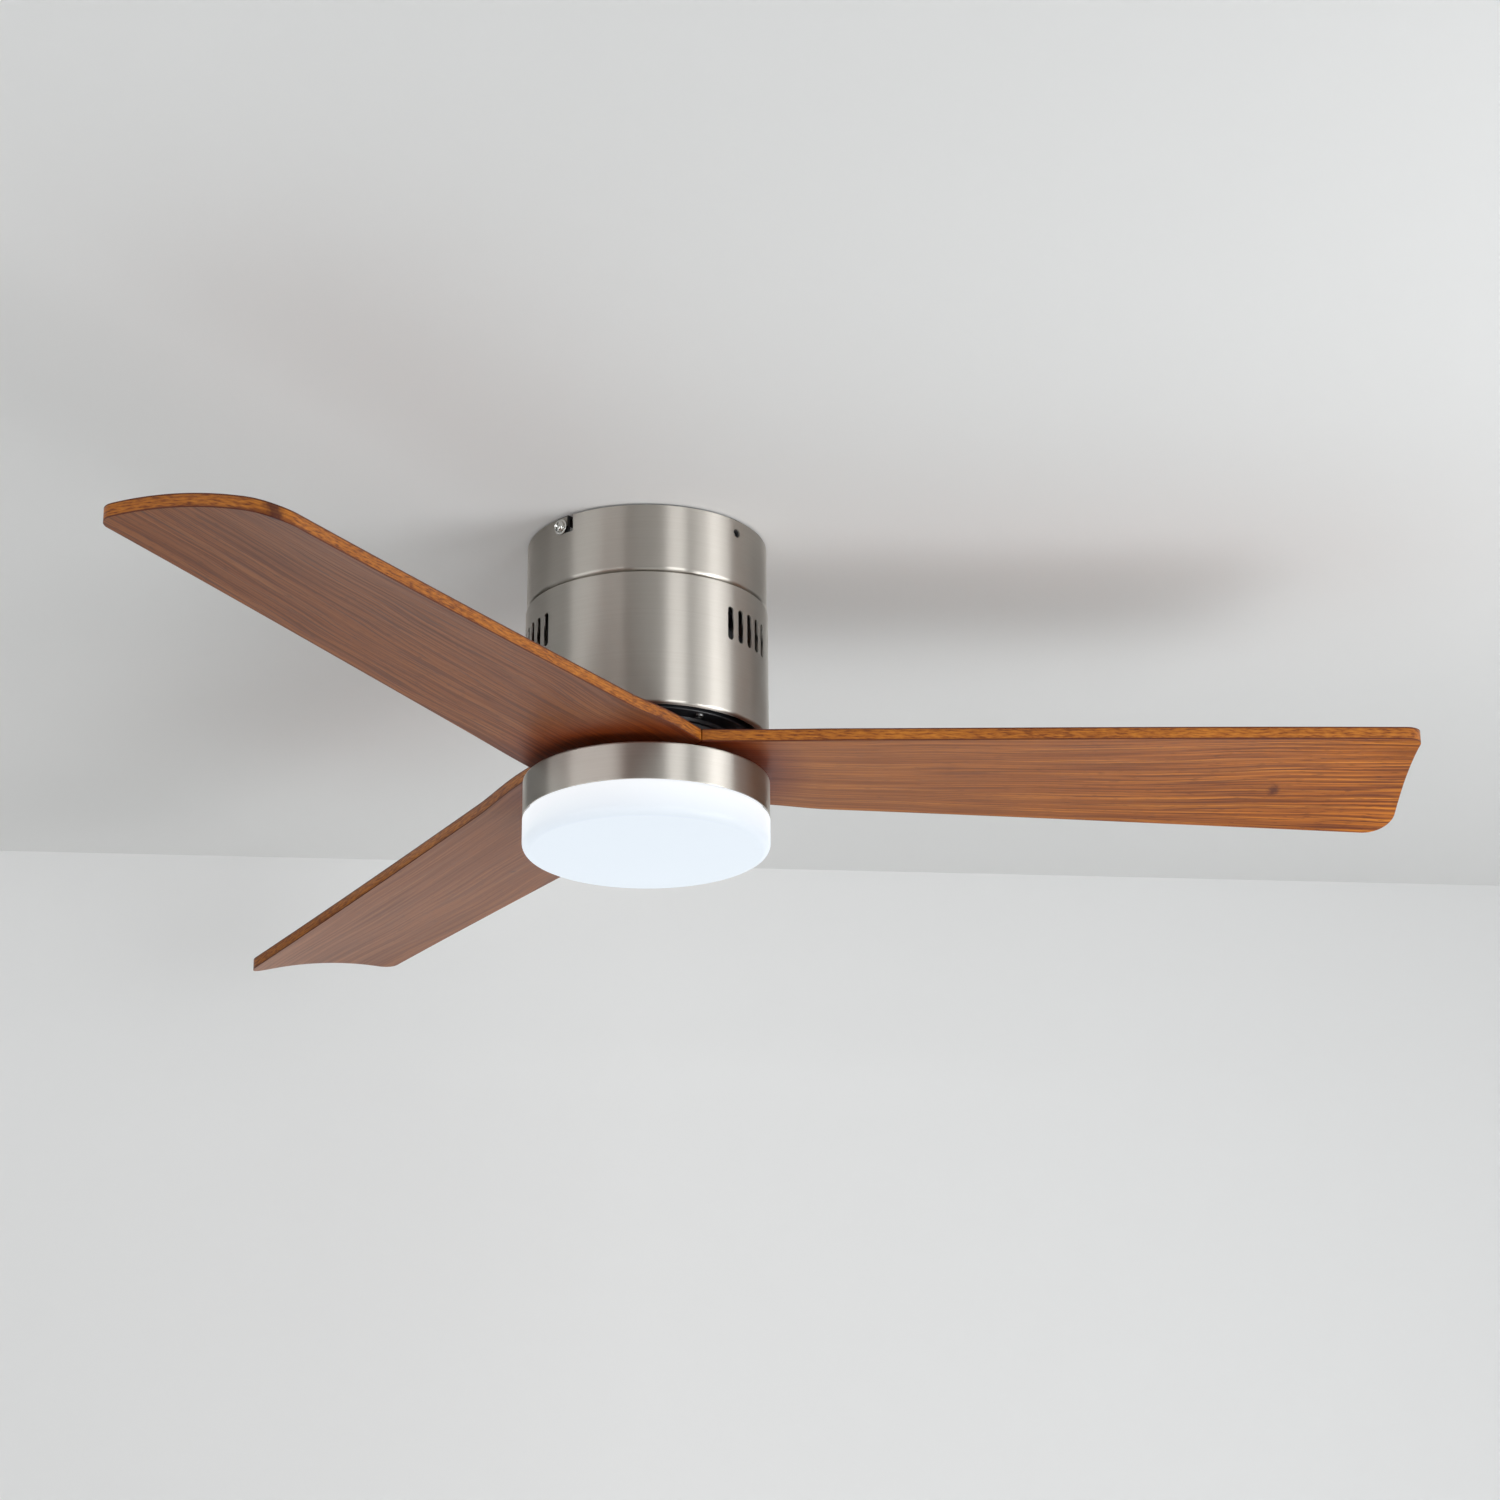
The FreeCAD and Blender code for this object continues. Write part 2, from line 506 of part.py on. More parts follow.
def blade():
    hw = BLADE_W / 2.0
    lo = surface(0.0)
    body = lo.extrude(Vector(0, 0, BLADE_T))
    if body.ShapeType != "Solid":
        body = body.Solids[0]
    # plan outline: wedge root, straight sides, rounded tip corners
    c = SEAM / 2
    n60 = math.radians(60)
    ox = c / math.sin(n60)              # wedge apex, kept clear of the neighbours
    xr = ox + hw / math.tan(n60)        # where a wedge line meets a side
    r1, r2 = 14.0, 26.0                 # leading and trailing tip corners
    T = SWEEP_R
    def arc(cx, cy, r, a0, a1):
        am = (a0 + a1) / 2.0
        f = lambda a: Vector(cx + r * math.cos(math.radians(a)), cy + r * math.sin(math.radians(a)), 0)
        return Part.Arc(f(a0), f(am), f(a1)).toShape()
    L = Part.LineSegment
    e = [L(Vector(ox, 0, 0), Vector(xr, -hw, 0)).toShape(),
         L(Vector(xr, -hw, 0), Vector(T - r1, -hw, 0)).toShape(),
         arc(T - r1, -hw + r1, r1, -90, 0),
         L(Vector(T, -hw + r1, 0), Vector(T, hw - r2, 0)).toShape(),
         arc(T - r2, hw - r2, r2, 0, 90),
         Part.Arc(Vector(T - r2, hw, 0), Vector((T - r2 + xr) / 2, hw - TE_BOW, 0), Vector(xr, hw, 0)).toShape(),
         L(Vector(xr, hw, 0), Vector(ox, 0, 0)).toShape()]
    plan = Part.Face(Part.Wire(e)).extrude(Vector(0, 0, 120))
    plan = moved(plan, 0, 0, -280)
    b = body.common(plan)
    b = b.cut([cyl(BLADE_HOLE, -300, -100)] + [cyl(2.7, -300, -100, x, y) for (x, y) in BSC])
    return b.Solids[0]


bl = blade()
print("blade", bl.isValid(), bl.Volume, bl.BoundBox)
for k in range(3):
    out("blade_%d" % (k + 1), rotz(bl, 120.0 * k))
bs = pan_screw(4.6, 3.0, 2.5, 1.0 + BLADE_T + 5.0)
sc, wa = [], []
for k in range(3):
    for (x, y) in BSC:
        p = rotz(Part.Vertex(x, y, BLADE_TOP - BLADE_T - 2 * SEAT_GAP - 1.0), 120.0 * k).Point
        sc.append(aim(rotz(bs, 25), p, Vector(0, 0, -1)))
        wa.append(moved(tube(7.0, 2.6, -1.0, 0), p.x, p.y, BLADE_TOP - BLADE_T - 2 * SEAT_GAP))
out("blade_screws", comp(sc))
out("blade_washers", comp(wa))

# ---------------------------------------------------------------- light kit
JN_B = PAN_TOP + 1.6
out("light_jam_nut", hexprism(22, JN_B, JN_B + 7).cut(cyl(SHAFT_R + FIT, -230, -190)))
out("light_top_washer", tube(16, SHAFT_R + 0.2, PAN_TOP, JN_B))
pan = revolve([(PAN_R, PAN_TOP, 2.0), (PAN_R, PAN_BOT, 0.5), (PAN_R - PAN_T, PAN_BOT), (PAN_R - PAN_T, PAN_TOP - PAN_T, 1.0),
               (SHAFT_R + 0.3, PAN_TOP - PAN_T), (SHAFT_R + 0.3, PAN_TOP)])
SO_R = 70.0
SO_AZ = [45, 135, 225, 315]
KEEP_AZ = [30, 150, 270]
pan = pan.cut([rotz(cyl(2.1, PAN_TOP - 3, PAN_TOP + 1, SO_R, 0), a) for a in SO_AZ] +
              [cyl(2.1, PAN_TOP - 3, PAN_TOP + 1, x, 44) for x in (-38, 38)])
out("light_pan", pan)
PI = PAN_TOP - PAN_T                  # inside face of the pan top
out("light_nut", hexprism(24, -6.4, 0).cut(cyl(SHAFT_R + FIT, -20, 20)).mirror(Vector(0, 0, 0), Z).translated(Vector(0, 0, PI - 6.4)))

BOARD_Z = -238.0
so = [rotz(tube(3.5, 1.55, BOARD_Z, PI).translated(Vector(SO_R, 0, 0)), a) for a in SO_AZ]
out("board_standoffs", comp(so))
board = tube(88, 12, BOARD_Z - 1.6, BOARD_Z)
board = board.cut([rotz(cyl(1.7, BOARD_Z - 3, BOARD_Z + 1, SO_R, 0), a) for a in SO_AZ] +
                  [cyl(2.6, BOARD_Z - 3, BOARD_Z + 1, 22, 0)])
out("led_board", board)
chips = []
for (rr, n, off) in ((30, 12, 15), (52, 20, 9), (80, 32, 0)):
    for k in range(n):
        chips.append(rotz(box(rr - 1.8, rr + 1.8, -1.6, 1.6, BOARD_Z - 2.5, BOARD_Z - 1.6), off + 360.0 * k / n))
out("led_chips", comp(chips))
bsw = pan_screw(2.8, 1.8, 1.5, 9.0)
out("led_board_screws", comp([aim(bsw, rotz(Part.Vertex(SO_R, 0, BOARD_Z - 1.6), a).Point, Vector(0, 0, -1)) for a in SO_AZ]))
drv = box(-31, 31, 29, 59, -234.5, PI)
drv = drv.makeFillet(2.0, [e for e in drv.Edges if e.BoundBox.ZLength > 10])
drv = drv.fuse([box(-42, -31, 39, 49, PI - 2.0, PI), box(31, 42, 39, 49, PI - 2.0, PI)])
drv = drv.cut([cyl(1.7, PI - 3, PI + 1, x, 44) for x in (-38, 38)])
out("led_driver", drv)
dsc = pan_screw(2.8, 1.8, 1.5, 3.0)
out("driver_screws", comp([aim(dsc, Vector(x, 44, PI - 2.0), Vector(0, 0, -1)) for x in (-38, 38)]))

# shade: opal cup with a neck and three bayonet lugs
NK_R = 100.6
NK_TOP = -242.0
SHI = SHADE_R - SHADE_T
sh = revolve([(SHADE_R, SHADE_TOP, 0.8), (SHADE_R, SHADE_BOT, SHADE_EDGE), (0, SHADE_BOT), (0, SHADE_BOT + SHADE_T),
              (SHI, SHADE_BOT + SHADE_T, SHADE_EDGE - SHADE_T), (SHI, SHADE_TOP - 2.2), (NK_R - 2.0, SHADE_TOP - 2.2), (NK_R - 2.0, NK_TOP),
              (NK_R, NK_TOP, 0.6), (NK_R, SHADE_TOP)])
LUG_HALF, LUG_R = 8.0, 103.3
lugs = []
for a in KEEP_AZ:
    seg = tube(LUG_R, NK_R - 0.5, -245.0, -242.8)
    w = Part.Face(Part.makePolygon([Vector(0, 0, 0), Vector(150, -150 * math.tan(math.radians(LUG_HALF)), 0),
                                    Vector(150, 150 * math.tan(math.radians(LUG_HALF)), 0), Vector(0, 0, 0)]))
    w = moved(w.extrude(Vector(0, 0, 20)), 0, 0, -255)
    lugs.append(rotz(seg.common(w), a))
sh = sh.fuse(lugs).removeSplitter()
out("shade", sh)
# keepers on the pan wall: a ledge under each lug with an end stop
keep = []
for a in KEEP_AZ:
    def sector(a0, a1, ro, ri, z0, z1):
        s = tube(ro, ri, z0, z1)
        am, h = (a0 + a1) / 2.0, (a1 - a0) / 2.0
        w = Part.Face(Part.makePolygon([Vector(0, 0, 0), Vector(150, -150 * math.tan(math.radians(h)), 0),
                                        Vector(150, 150 * math.tan(math.radians(h)), 0), Vector(0, 0, 0)]))
        w = moved(w.extrude(Vector(0, 0, 60)), 0, 0, -270)
        return rotz(s.common(w), am)
    ki = PAN_R - PAN_T
    led = sector(-LUG_HALF - 2.6, LUG_HALF, ki, 101.3, -247.2, -245.6)
    stop = sector(-LUG_HALF - 2.6, -LUG_HALF - 0.4, ki, 101.3, -245.8, -242.0)
    tab = sector(-LUG_HALF - 2.6, LUG_HALF, ki, 103.7, -245.8, -240.5)
    keep.append(rotz(led.fuse([stop, tab]).removeSplitter(), a))
out("shade_keepers", comp(keep))

# ---------------------------------------------------------------- internal leads
LR = 1.7
out("motor_lead", route([(-2.4, 30.95, -40), (-2.4, 0, -40), (-2.4, 0, -101), (-30.0, 0, -111)], LR))
out("light_lead", route([(2.3, 30.95, -40), (2.3, 0, -40), (2.3, 0, -229), (2.3, 28.95, -229)], LR))
out("supply_lead", route([(-46, -39.95, -22), (-46, -8, -22), (-46, 4, -46), (-46, 30.95, -46)], 2.4))
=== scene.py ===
import json
import math

import bmesh
import bpy
from mathutils import Matrix, Vector


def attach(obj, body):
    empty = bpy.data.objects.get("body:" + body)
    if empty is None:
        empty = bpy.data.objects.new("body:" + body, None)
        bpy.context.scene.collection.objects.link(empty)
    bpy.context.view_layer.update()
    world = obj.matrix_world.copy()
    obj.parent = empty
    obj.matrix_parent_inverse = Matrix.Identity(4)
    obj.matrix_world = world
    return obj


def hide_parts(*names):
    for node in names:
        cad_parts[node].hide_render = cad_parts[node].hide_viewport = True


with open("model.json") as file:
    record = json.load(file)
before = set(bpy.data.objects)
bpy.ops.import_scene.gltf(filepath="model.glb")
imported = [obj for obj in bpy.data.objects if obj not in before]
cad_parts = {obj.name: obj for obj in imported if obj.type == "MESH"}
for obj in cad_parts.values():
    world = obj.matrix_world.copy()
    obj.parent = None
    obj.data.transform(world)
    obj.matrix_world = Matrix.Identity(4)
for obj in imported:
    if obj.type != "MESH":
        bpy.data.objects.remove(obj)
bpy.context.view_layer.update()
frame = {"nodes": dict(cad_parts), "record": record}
scene = bpy.context.scene
coll = scene.collection
MM = 0.001

# ------------------------------------------------------------------ sizes (mm), as in the CAD
SWEEP_R = 657.3
CAN_R, CAN_T, CAN_H, CAN_LIP, CAN_GAP = 104.9, 1.2, 61.6, 3.2, 1.2
LSLOT_AZ, LSLOT_TURN, LSLOT_W, LSLOT_Z = (-129.2, 50.8), -5.4, 6.6, -16.4
SCREW_Z, HOLE_AZ, HOLE_Z, HOLE_R = -9.8, (-42.7, 137.3), -13.0, 3.5
HOU_R, HOU_T, HOU_TOP, HOU_BOT, HOU_LIP_R = 105.8, 1.2, -62.2, -181.5, 101.8
SLOT_GROUPS, SLOT_PITCH, SLOT_N, SLOT_W = (-34.0, -158.0, 84.0), 6.75, 5, 6.5
SLOT_TOP, SLOT_BOT = -83.9, -114.2
PLATE_R, PL_TOP, BLADE_TOP, BLADE_T, BLADE_W = 93.5, -176.3, -196.0, 11.0, 160.3
BLADE_HOLE, SEAT_GAP, TE_BOW, SEAM = 30.0, 0.05, 1.9, 1.2
PAN_R, PAN_T, PAN_TOP, PAN_BOT = 106.2, 1.2, -216.1, -249.3
SHADE_R, SHADE_T, SHADE_TOP, SHADE_BOT, SHADE_EDGE = 106.3, 2.4, -250.9, -279.6, 8.0
SHAFT_R = 7.5
BSC = ((64, 0), (46, 24), (46, -24))


# ------------------------------------------------------------------ node helpers
class Mat:
    def __init__(self, name):
        self.m = bpy.data.materials.new(name)
        self.m.use_nodes = True
        self.nt = self.m.node_tree
        self.nt.nodes.clear()
        self.out = self.nt.nodes.new("ShaderNodeOutputMaterial")

    def n(self, kind, **kw):
        node = self.nt.nodes.new(kind)
        for k, v in kw.items():
            setattr(node, k, v)
        return node

    def link(self, a, b):
        self.nt.links.new(a, b)

    def math(self, op, a, b=None, c=None, clamp=False):
        x = self.n("ShaderNodeMath", operation=op, use_clamp=clamp)
        for i, v in enumerate((a, b, c)):
            if v is None:
                continue
            if isinstance(v, (int, float)):
                x.inputs[i].default_value = v
            else:
                self.link(v, x.inputs[i])
        return x.outputs[0]

    def obj(self):
        return self.n("ShaderNodeTexCoord").outputs["Object"]

    def mapping(self, vec, scale=(1, 1, 1), rot=(0, 0, 0), loc=(0, 0, 0)):
        x = self.n("ShaderNodeMapping")
        x.inputs["Scale"].default_value = scale
        x.inputs["Rotation"].default_value = rot
        x.inputs["Location"].default_value = loc
        self.link(vec, x.inputs["Vector"])
        return x.outputs[0]

    def noise(self, vec, scale=5.0, detail=3.0, rough=0.5, dist=0.0):
        x = self.n("ShaderNodeTexNoise")
        x.inputs["Scale"].default_value = scale
        x.inputs["Detail"].default_value = detail
        x.inputs["Roughness"].default_value = rough
        x.inputs["Distortion"].default_value = dist
        self.link(vec, x.inputs["Vector"])
        return x.outputs["Fac"]

    def ramp(self, fac, stops, interp="LINEAR"):
        x = self.n("ShaderNodeValToRGB")
        x.color_ramp.interpolation = interp
        e = x.color_ramp.elements
        while len(e) < len(stops):
            e.new(0.5)
        for i, (p, c) in enumerate(stops):
            e[i].position = p
            e[i].color = tuple(c) + (1,) if len(c) == 3 else c
        self.link(fac, x.inputs[0])
        return x.outputs[0]

    def remap(self, v, a, b, c, d):
        x = self.n("ShaderNodeMapRange")
        for s, val in zip(("From Min", "From Max", "To Min", "To Max"), (a, b, c, d)):
            x.inputs[s].default_value = val
        self.link(v, x.inputs["Value"])
        return x.outputs[0]

    def mix(self, fac, a, b, blend="MIX"):
        x = self.n("ShaderNodeMix", data_type="RGBA", blend_type=blend)
        if isinstance(fac, (int, float)):
            x.inputs[0].default_value = fac
        else:
            self.link(fac, x.inputs[0])
        for s, v in ((6, a), (7, b)):
            if isinstance(v, (tuple, list)):
                x.inputs[s].default_value = tuple(v) + (1,) if len(v) == 3 else v
            else:
                self.link(v, x.inputs[s])
        return x.outputs[2]

    def bump(self, height, strength=0.2, distance=0.0002, normal=None):
        x = self.n("ShaderNodeBump")
        x.inputs["Strength"].default_value = strength
        x.inputs["Distance"].default_value = distance
        self.link(height, x.inputs["Height"])
        if normal is not None:
            self.link(normal, x.inputs["Normal"])
        return x.outputs[0]

    def principled(self, **kw):
        p = self.n("ShaderNodeBsdfPrincipled")
        for k, v in kw.items():
            s = p.inputs[k.replace("_", " ")]
            if hasattr(v, "is_output") or isinstance(v, bpy.types.NodeSocket):
                self.link(v, s)
            elif isinstance(v, (tuple, list)) and len(v) == 3 and s.type == "RGBA":
                s.default_value = tuple(v) + (1,)
            else:
                s.default_value = v
        self.link(p.outputs[0], self.out.inputs[0])
        return p


def nickel():
    """Satin nickel plate, brushed round the axis; the rounded rims are smoother."""
    M = Mat("satin_nickel")
    tc = M.n("ShaderNodeTexCoord")
    o = tc.outputs["Object"]
    fine = M.noise(M.mapping(o, (14, 14, 5200)), 1.0, 2.0, 0.6)
    mid = M.noise(M.mapping(o, (5, 5, 900), loc=(3, 1, 0)), 1.0, 2.0, 0.5)
    cloud = M.noise(o, 22.0, 2.0, 0.5)
    f = M.math("ADD", M.math("MULTIPLY", fine, 0.5), M.math("MULTIPLY", mid, 0.5))
    col = M.ramp(f, [(0.30, (0.560, 0.522, 0.470)), (0.70, (0.610, 0.575, 0.525))])
    col = M.mix(M.remap(cloud, 0.35, 0.65, 0.0, 0.10), col, (0.60, 0.560, 0.500))
    rough = M.remap(M.math("ADD", M.math("MULTIPLY", fine, 0.6), M.math("MULTIPLY", mid, 0.4)), 0.3, 0.7, 0.38, 0.45)
    sep = M.n("ShaderNodeSeparateXYZ")
    M.link(tc.outputs["Normal"], sep.inputs[0])
    nz = M.math("ABSOLUTE", sep.outputs[2])
    rim = M.math("MULTIPLY", M.remap(nz, 0.04, 0.22, 0.0, 1.0), M.remap(nz, 0.90, 0.99, 1.0, 0.0))
    mixr = M.n("ShaderNodeMix", data_type="FLOAT")
    M.link(rim, mixr.inputs[0])
    M.link(rough, mixr.inputs[2])
    mixr.inputs[3].default_value = 0.30
    b = M.bump(fine, 0.05, 0.00003)
    t = M.n("ShaderNodeTangent", direction_type="RADIAL", axis="Z")
    p = M.principled(Base_Color=col, Metallic=1.0, Roughness=mixr.outputs[0], Anisotropic=1.0, Anisotropic_Rotation=0.25, Normal=b)
    M.link(t.outputs[0], p.inputs["Tangent"])
    return M.m


def wood(k):
    """Walnut-stained veneer on plywood: grain along the blade, plies on the edges."""
    M = Mat("walnut_ply_%d" % (k + 1))
    a = -2 * math.pi / 3 * k
    o = M.mapping(M.obj(), rot=(0, 0, a))
    ox, oy = 0.37 * k, 0.21 * k
    sep = M.n("ShaderNodeSeparateXYZ")
    M.link(o, sep.inputs[0])
    # slow wander of the grain lines across the width
    wob = M.noise(M.mapping(o, (2.6, 6.0, 0), loc=(ox, oy, 0)), 1.0, 2.0, 0.5)
    jit = M.noise(M.mapping(o, (24, 30, 0), loc=(ox, oy, 0)), 1.0, 2.0, 0.5)
    y2 = M.math("ADD", sep.outputs[1], M.math("MULTIPLY", M.math("SUBTRACT", wob, 0.5), 0.030))
    y2 = M.math("ADD", y2, M.math("MULTIPLY", M.math("SUBTRACT", jit, 0.5), 0.0016))
    cx = M.n("ShaderNodeCombineXYZ")
    M.link(sep.outputs[0], cx.inputs[0])
    M.link(y2, cx.inputs[1])
    g = cx.outputs[0]
    rings = M.noise(M.mapping(g, (2.2, 105, 1), loc=(ox, 2 + oy, 0)), 1.0, 2.0, 0.6)
    lines = M.noise(M.mapping(g, (3.4, 235, 1), loc=(5 + ox, 1 + oy, 0)), 1.0, 1.5, 0.5)
    fine = M.noise(M.mapping(g, (7.0, 470, 1), loc=(ox, oy, 0)), 1.0, 2.0, 0.6)
    wide = M.noise(M.mapping(g, (1.2, 20, 1), loc=(1 + ox, 7, 0)), 1.0, 3.0, 0.55)
    pores = M.noise(M.mapping(g, (75, 560, 1), loc=(ox, oy, 0)), 1.0, 1.0, 0.5)
    wr, wl, ww, wf = ((0.11, 0.50, 0.05, 0.34), (0.16, 0.43, 0.17, 0.24), (0.13, 0.47, 0.07, 0.33))[k]
    f = M.math("ADD", M.math("ADD", M.math("MULTIPLY", rings, wr), M.math("MULTIPLY", lines, wl)), M.math("ADD", M.math("MULTIPLY", wide, ww), M.math("MULTIPLY", fine, wf)))
    hi1, hi2 = (((0.295, 0.086, 0.010), (0.388, 0.129, 0.014)), ((0.295, 0.086, 0.010), (0.375, 0.124, 0.014)), ((0.262, 0.075, 0.010), (0.298, 0.090, 0.012)))[k]
    col = M.ramp(f, [(0.40, (0.105, 0.025, 0.005)), (0.47, (0.215, 0.057, 0.008)), (0.53, hi1), (0.60, hi2)])
    thin = M.noise(M.mapping(g, (9.0, 620, 1), loc=(8 + ox, oy, 0)), 1.0, 1.0, 0.5)
    col = M.mix(M.remap(thin, 0.37, 0.46, (0.92, 0.30, 0.95)[k], 0.0), col, (0.082, 0.019, 0.006))
    # growth rings: thin dark lines, stronger here and fainter there
    vein = M.math("ABSOLUTE", M.math("SUBTRACT", rings, 0.5))
    vein = M.remap(vein, 0.016, 0.060, 1.0, 0.0)
    vary = M.noise(M.mapping(g, (5.0, 60, 1), loc=(4 + ox, oy, 0)), 1.0, 2.0, 0.5)
    vein = M.math("MULTIPLY", vein, M.remap(vary, 0.36, 0.58, 0.10, 0.60))
    vein = M.math("MULTIPLY", vein, M.remap(sep.outputs[0], 0.30, 0.60, *((0.55, 1.0), (1.0, 1.0), (1.0, 0.45))[k]))
    col = M.mix(vein, col, (0.088, 0.020, 0.006))
    col = M.mix(M.remap(pores, 0.60, 0.70, 0.0, 0.55), col, (0.050, 0.012, 0.004))
    # the figure is quieter on one leaf of veneer than on another
    quiet = M.remap(sep.outputs[0], 0.12, 0.60, *((0.54, 0.0), (0.50, 0.46), (0.26, 0.24))[k])
    col = M.mix(quiet, col, (0.245, 0.069, 0.009))
    # painted light: each blade gets its own brightness, changing from root to tip, for the light that falls on it,
    # strongest on blade 1
    lo, hi = ((1.35, 1.78), (1.16, 1.20), (1.18, 1.10))[k]
    lit_tone = M.remap(sep.outputs[0], 0.10, 0.62, lo, hi)
    # painted shade: deeper and redder towards the hub, where the blade roots sit close above the light pan
    rr2 = M.math("ADD", M.math("MULTIPLY", sep.outputs[0], sep.outputs[0]), M.math("MULTIPLY", sep.outputs[1], sep.outputs[1]))
    hub_shade = M.remap(M.math("SQRT", rr2), *((0.106, 0.146), (0.108, 0.162), (0.108, 0.162))[k], 1.0, 0.0)
    # painted light and shade together: the blade brightness and the hub darkening multiply the colour
    painted_light_gain = M.n("ShaderNodeCombineXYZ")
    hub_shade_drops = ((0.50, 0.76, 0.82), (0.18, 0.48, 0.52), (0.14, 0.46, 0.50))[k]
    lit_tone_lean = ((1.0, 1.04, 0.96), (1.0, 1.0, 1.0), (1.0, 1.0, 1.0))[k]
    for i, drop in enumerate(hub_shade_drops):
        M.link(M.math("MULTIPLY", M.math("MULTIPLY", lit_tone, lit_tone_lean[i]), M.math("SUBTRACT", 1.0, M.math("MULTIPLY", hub_shade, drop))), painted_light_gain.inputs[i])
    col = M.mix(1.0, col, painted_light_gain.outputs[0], "MULTIPLY")
    # a small knot
    kx, ky, kw, kh = ((0.5455, 0.0205, 0.0050, 0.0085), (0.300, -0.030, 0.0040, 0.0030), (0.6500, 0.0725, 0.0075, 0.0075))[k]
    dx = M.math("DIVIDE", M.math("SUBTRACT", sep.outputs[0], kx), kw)
    dy = M.math("DIVIDE", M.math("SUBTRACT", sep.outputs[1], ky), kh)
    dd = M.math("SQRT", M.math("ADD", M.math("MULTIPLY", dx, dx), M.math("MULTIPLY", dy, dy)))
    dd = M.math("ADD", dd, M.math("MULTIPLY", M.math("SUBTRACT", M.noise(M.mapping(o, (260, 260, 260)), 1.0, 2.0, 0.5), 0.5), 1.6))
    knot = M.remap(dd, 0.35, 1.25, (0.80, 0.50, 0.85)[k], 0.0)
    # edges show the plies and end fibres under the stain
    at = M.n("ShaderNodeAttribute", attribute_name="ply")
    ed = M.n("ShaderNodeAttribute", attribute_name="edge")
    ply = at.outputs["Fac"]
    along = M.math("ADD", sep.outputs[0], M.math("MULTIPLY", sep.outputs[1], 1.0))
    slant = M.math("ADD", along, M.math("MULTIPLY", ply, 0.016))
    ex = M.n("ShaderNodeCombineXYZ")
    M.link(slant, ex.inputs[0])
    M.link(M.math("MULTIPLY", ply, 0.011), ex.inputs[1])
    fleck = M.noise(M.mapping(ex.outputs[0], (105, 640, 1), loc=(ox, oy, 0)), 1.0, 2.0, 0.6)
    slow = M.noise(M.mapping(ex.outputs[0], (9, 60, 1), loc=(ox, 3 + oy, 0)), 1.0, 2.0, 0.5)
    plies = M.math("SINE", M.math("MULTIPLY", ply, 2 * math.pi * 3.5))
    ev = M.math("ADD", M.math("ADD", M.math("MULTIPLY", fleck, 0.74), M.math("MULTIPLY", slow, 0.24)), M.math("MULTIPLY", plies, 0.030))
    ecol = M.ramp(ev, [(0.35, (0.165, 0.040, 0.006)), (0.43, (0.300, 0.085, 0.009)), (0.51, (0.412, 0.129, 0.012)), (0.63, (0.520, 0.180, 0.019))])
    # edge faces take the ply colour, and a thin dark line painted along the lower and upper arrises stands for shade
    # there
    col = M.mix(ed.outputs["Fac"], col, ecol)
    arris_shade = M.math("MAXIMUM", M.remap(ply, 0.07, 0.16, 0.95, 0.0), M.remap(ply, 0.86, 0.93, 0.0, 0.92))
    arris_shade = M.math("MULTIPLY", arris_shade, M.remap(ed.outputs["Fac"], 0.05, 0.40, 0.0, 1.0))
    col = M.mix(arris_shade, col, (0.085, 0.014, 0.006))
    col = M.mix(knot, col, (0.070, 0.014, 0.008))
    rough = M.remap(f, 0.35, 0.65, 0.46, 0.36)
    b = M.bump(M.math("ADD", M.math("MULTIPLY", fine, 0.5), M.math("MULTIPLY", pores, -0.5)), 0.16, 0.00010)
    M.principled(Base_Color=col, Roughness=rough, Coat_Weight=0.0, Normal=b, Specular_IOR_Level=(0.30, 0.60, 0.29)[k])
    return M.m


def opal():
    """Opal acrylic, lit from inside: cool white, a little stronger on the side wall."""
    M = Mat("opal_acrylic")
    o = M.obj()
    sep = M.n("ShaderNodeSeparateXYZ")
    M.link(o, sep.inputs[0])
    side = M.remap(sep.outputs[2], -0.2790, -0.2515, 0.0, 1.0)
    mott = M.noise(o, 9.0, 2.0, 0.5)
    ecol = M.mix(M.math("POWER", side, 0.75), (0.632, 0.700, 0.766), (0.815, 0.840, 0.870))
    ecol = M.mix(M.remap(mott, 0.3, 0.7, 0.0, 0.05), ecol, (0.70, 0.77, 0.88))
    fine = M.noise(o, 900.0, 2.0, 0.5)
    b = M.bump(fine, 0.05, 0.00005)
    M.principled(Base_Color=(0.18, 0.18, 0.185), Roughness=0.38, Emission_Color=ecol, Emission_Strength=1.0, Normal=b,
                 Specular_IOR_Level=0.25)
    return M.m


def simple(name, c0, c1, metallic, r0, r1, scale=60.0, bump=0.08, dist=0.00005, stretch=(1, 1, 1), **kw):
    M = Mat(name)
    o = M.mapping(M.obj(), stretch)
    a = M.noise(o, scale, 4.0, 0.6)
    b = M.noise(o, scale * 9, 2.0, 0.5)
    f = M.math("ADD", M.math("MULTIPLY", a, 0.6), M.math("MULTIPLY", b, 0.4))
    col = M.ramp(f, [(0.32, c0), (0.68, c1)])
    rough = M.remap(f, 0.32, 0.68, r0, r1)
    M.principled(Base_Color=col, Metallic=metallic, Roughness=rough, Normal=M.bump(b, bump, dist), **kw)
    return M.m


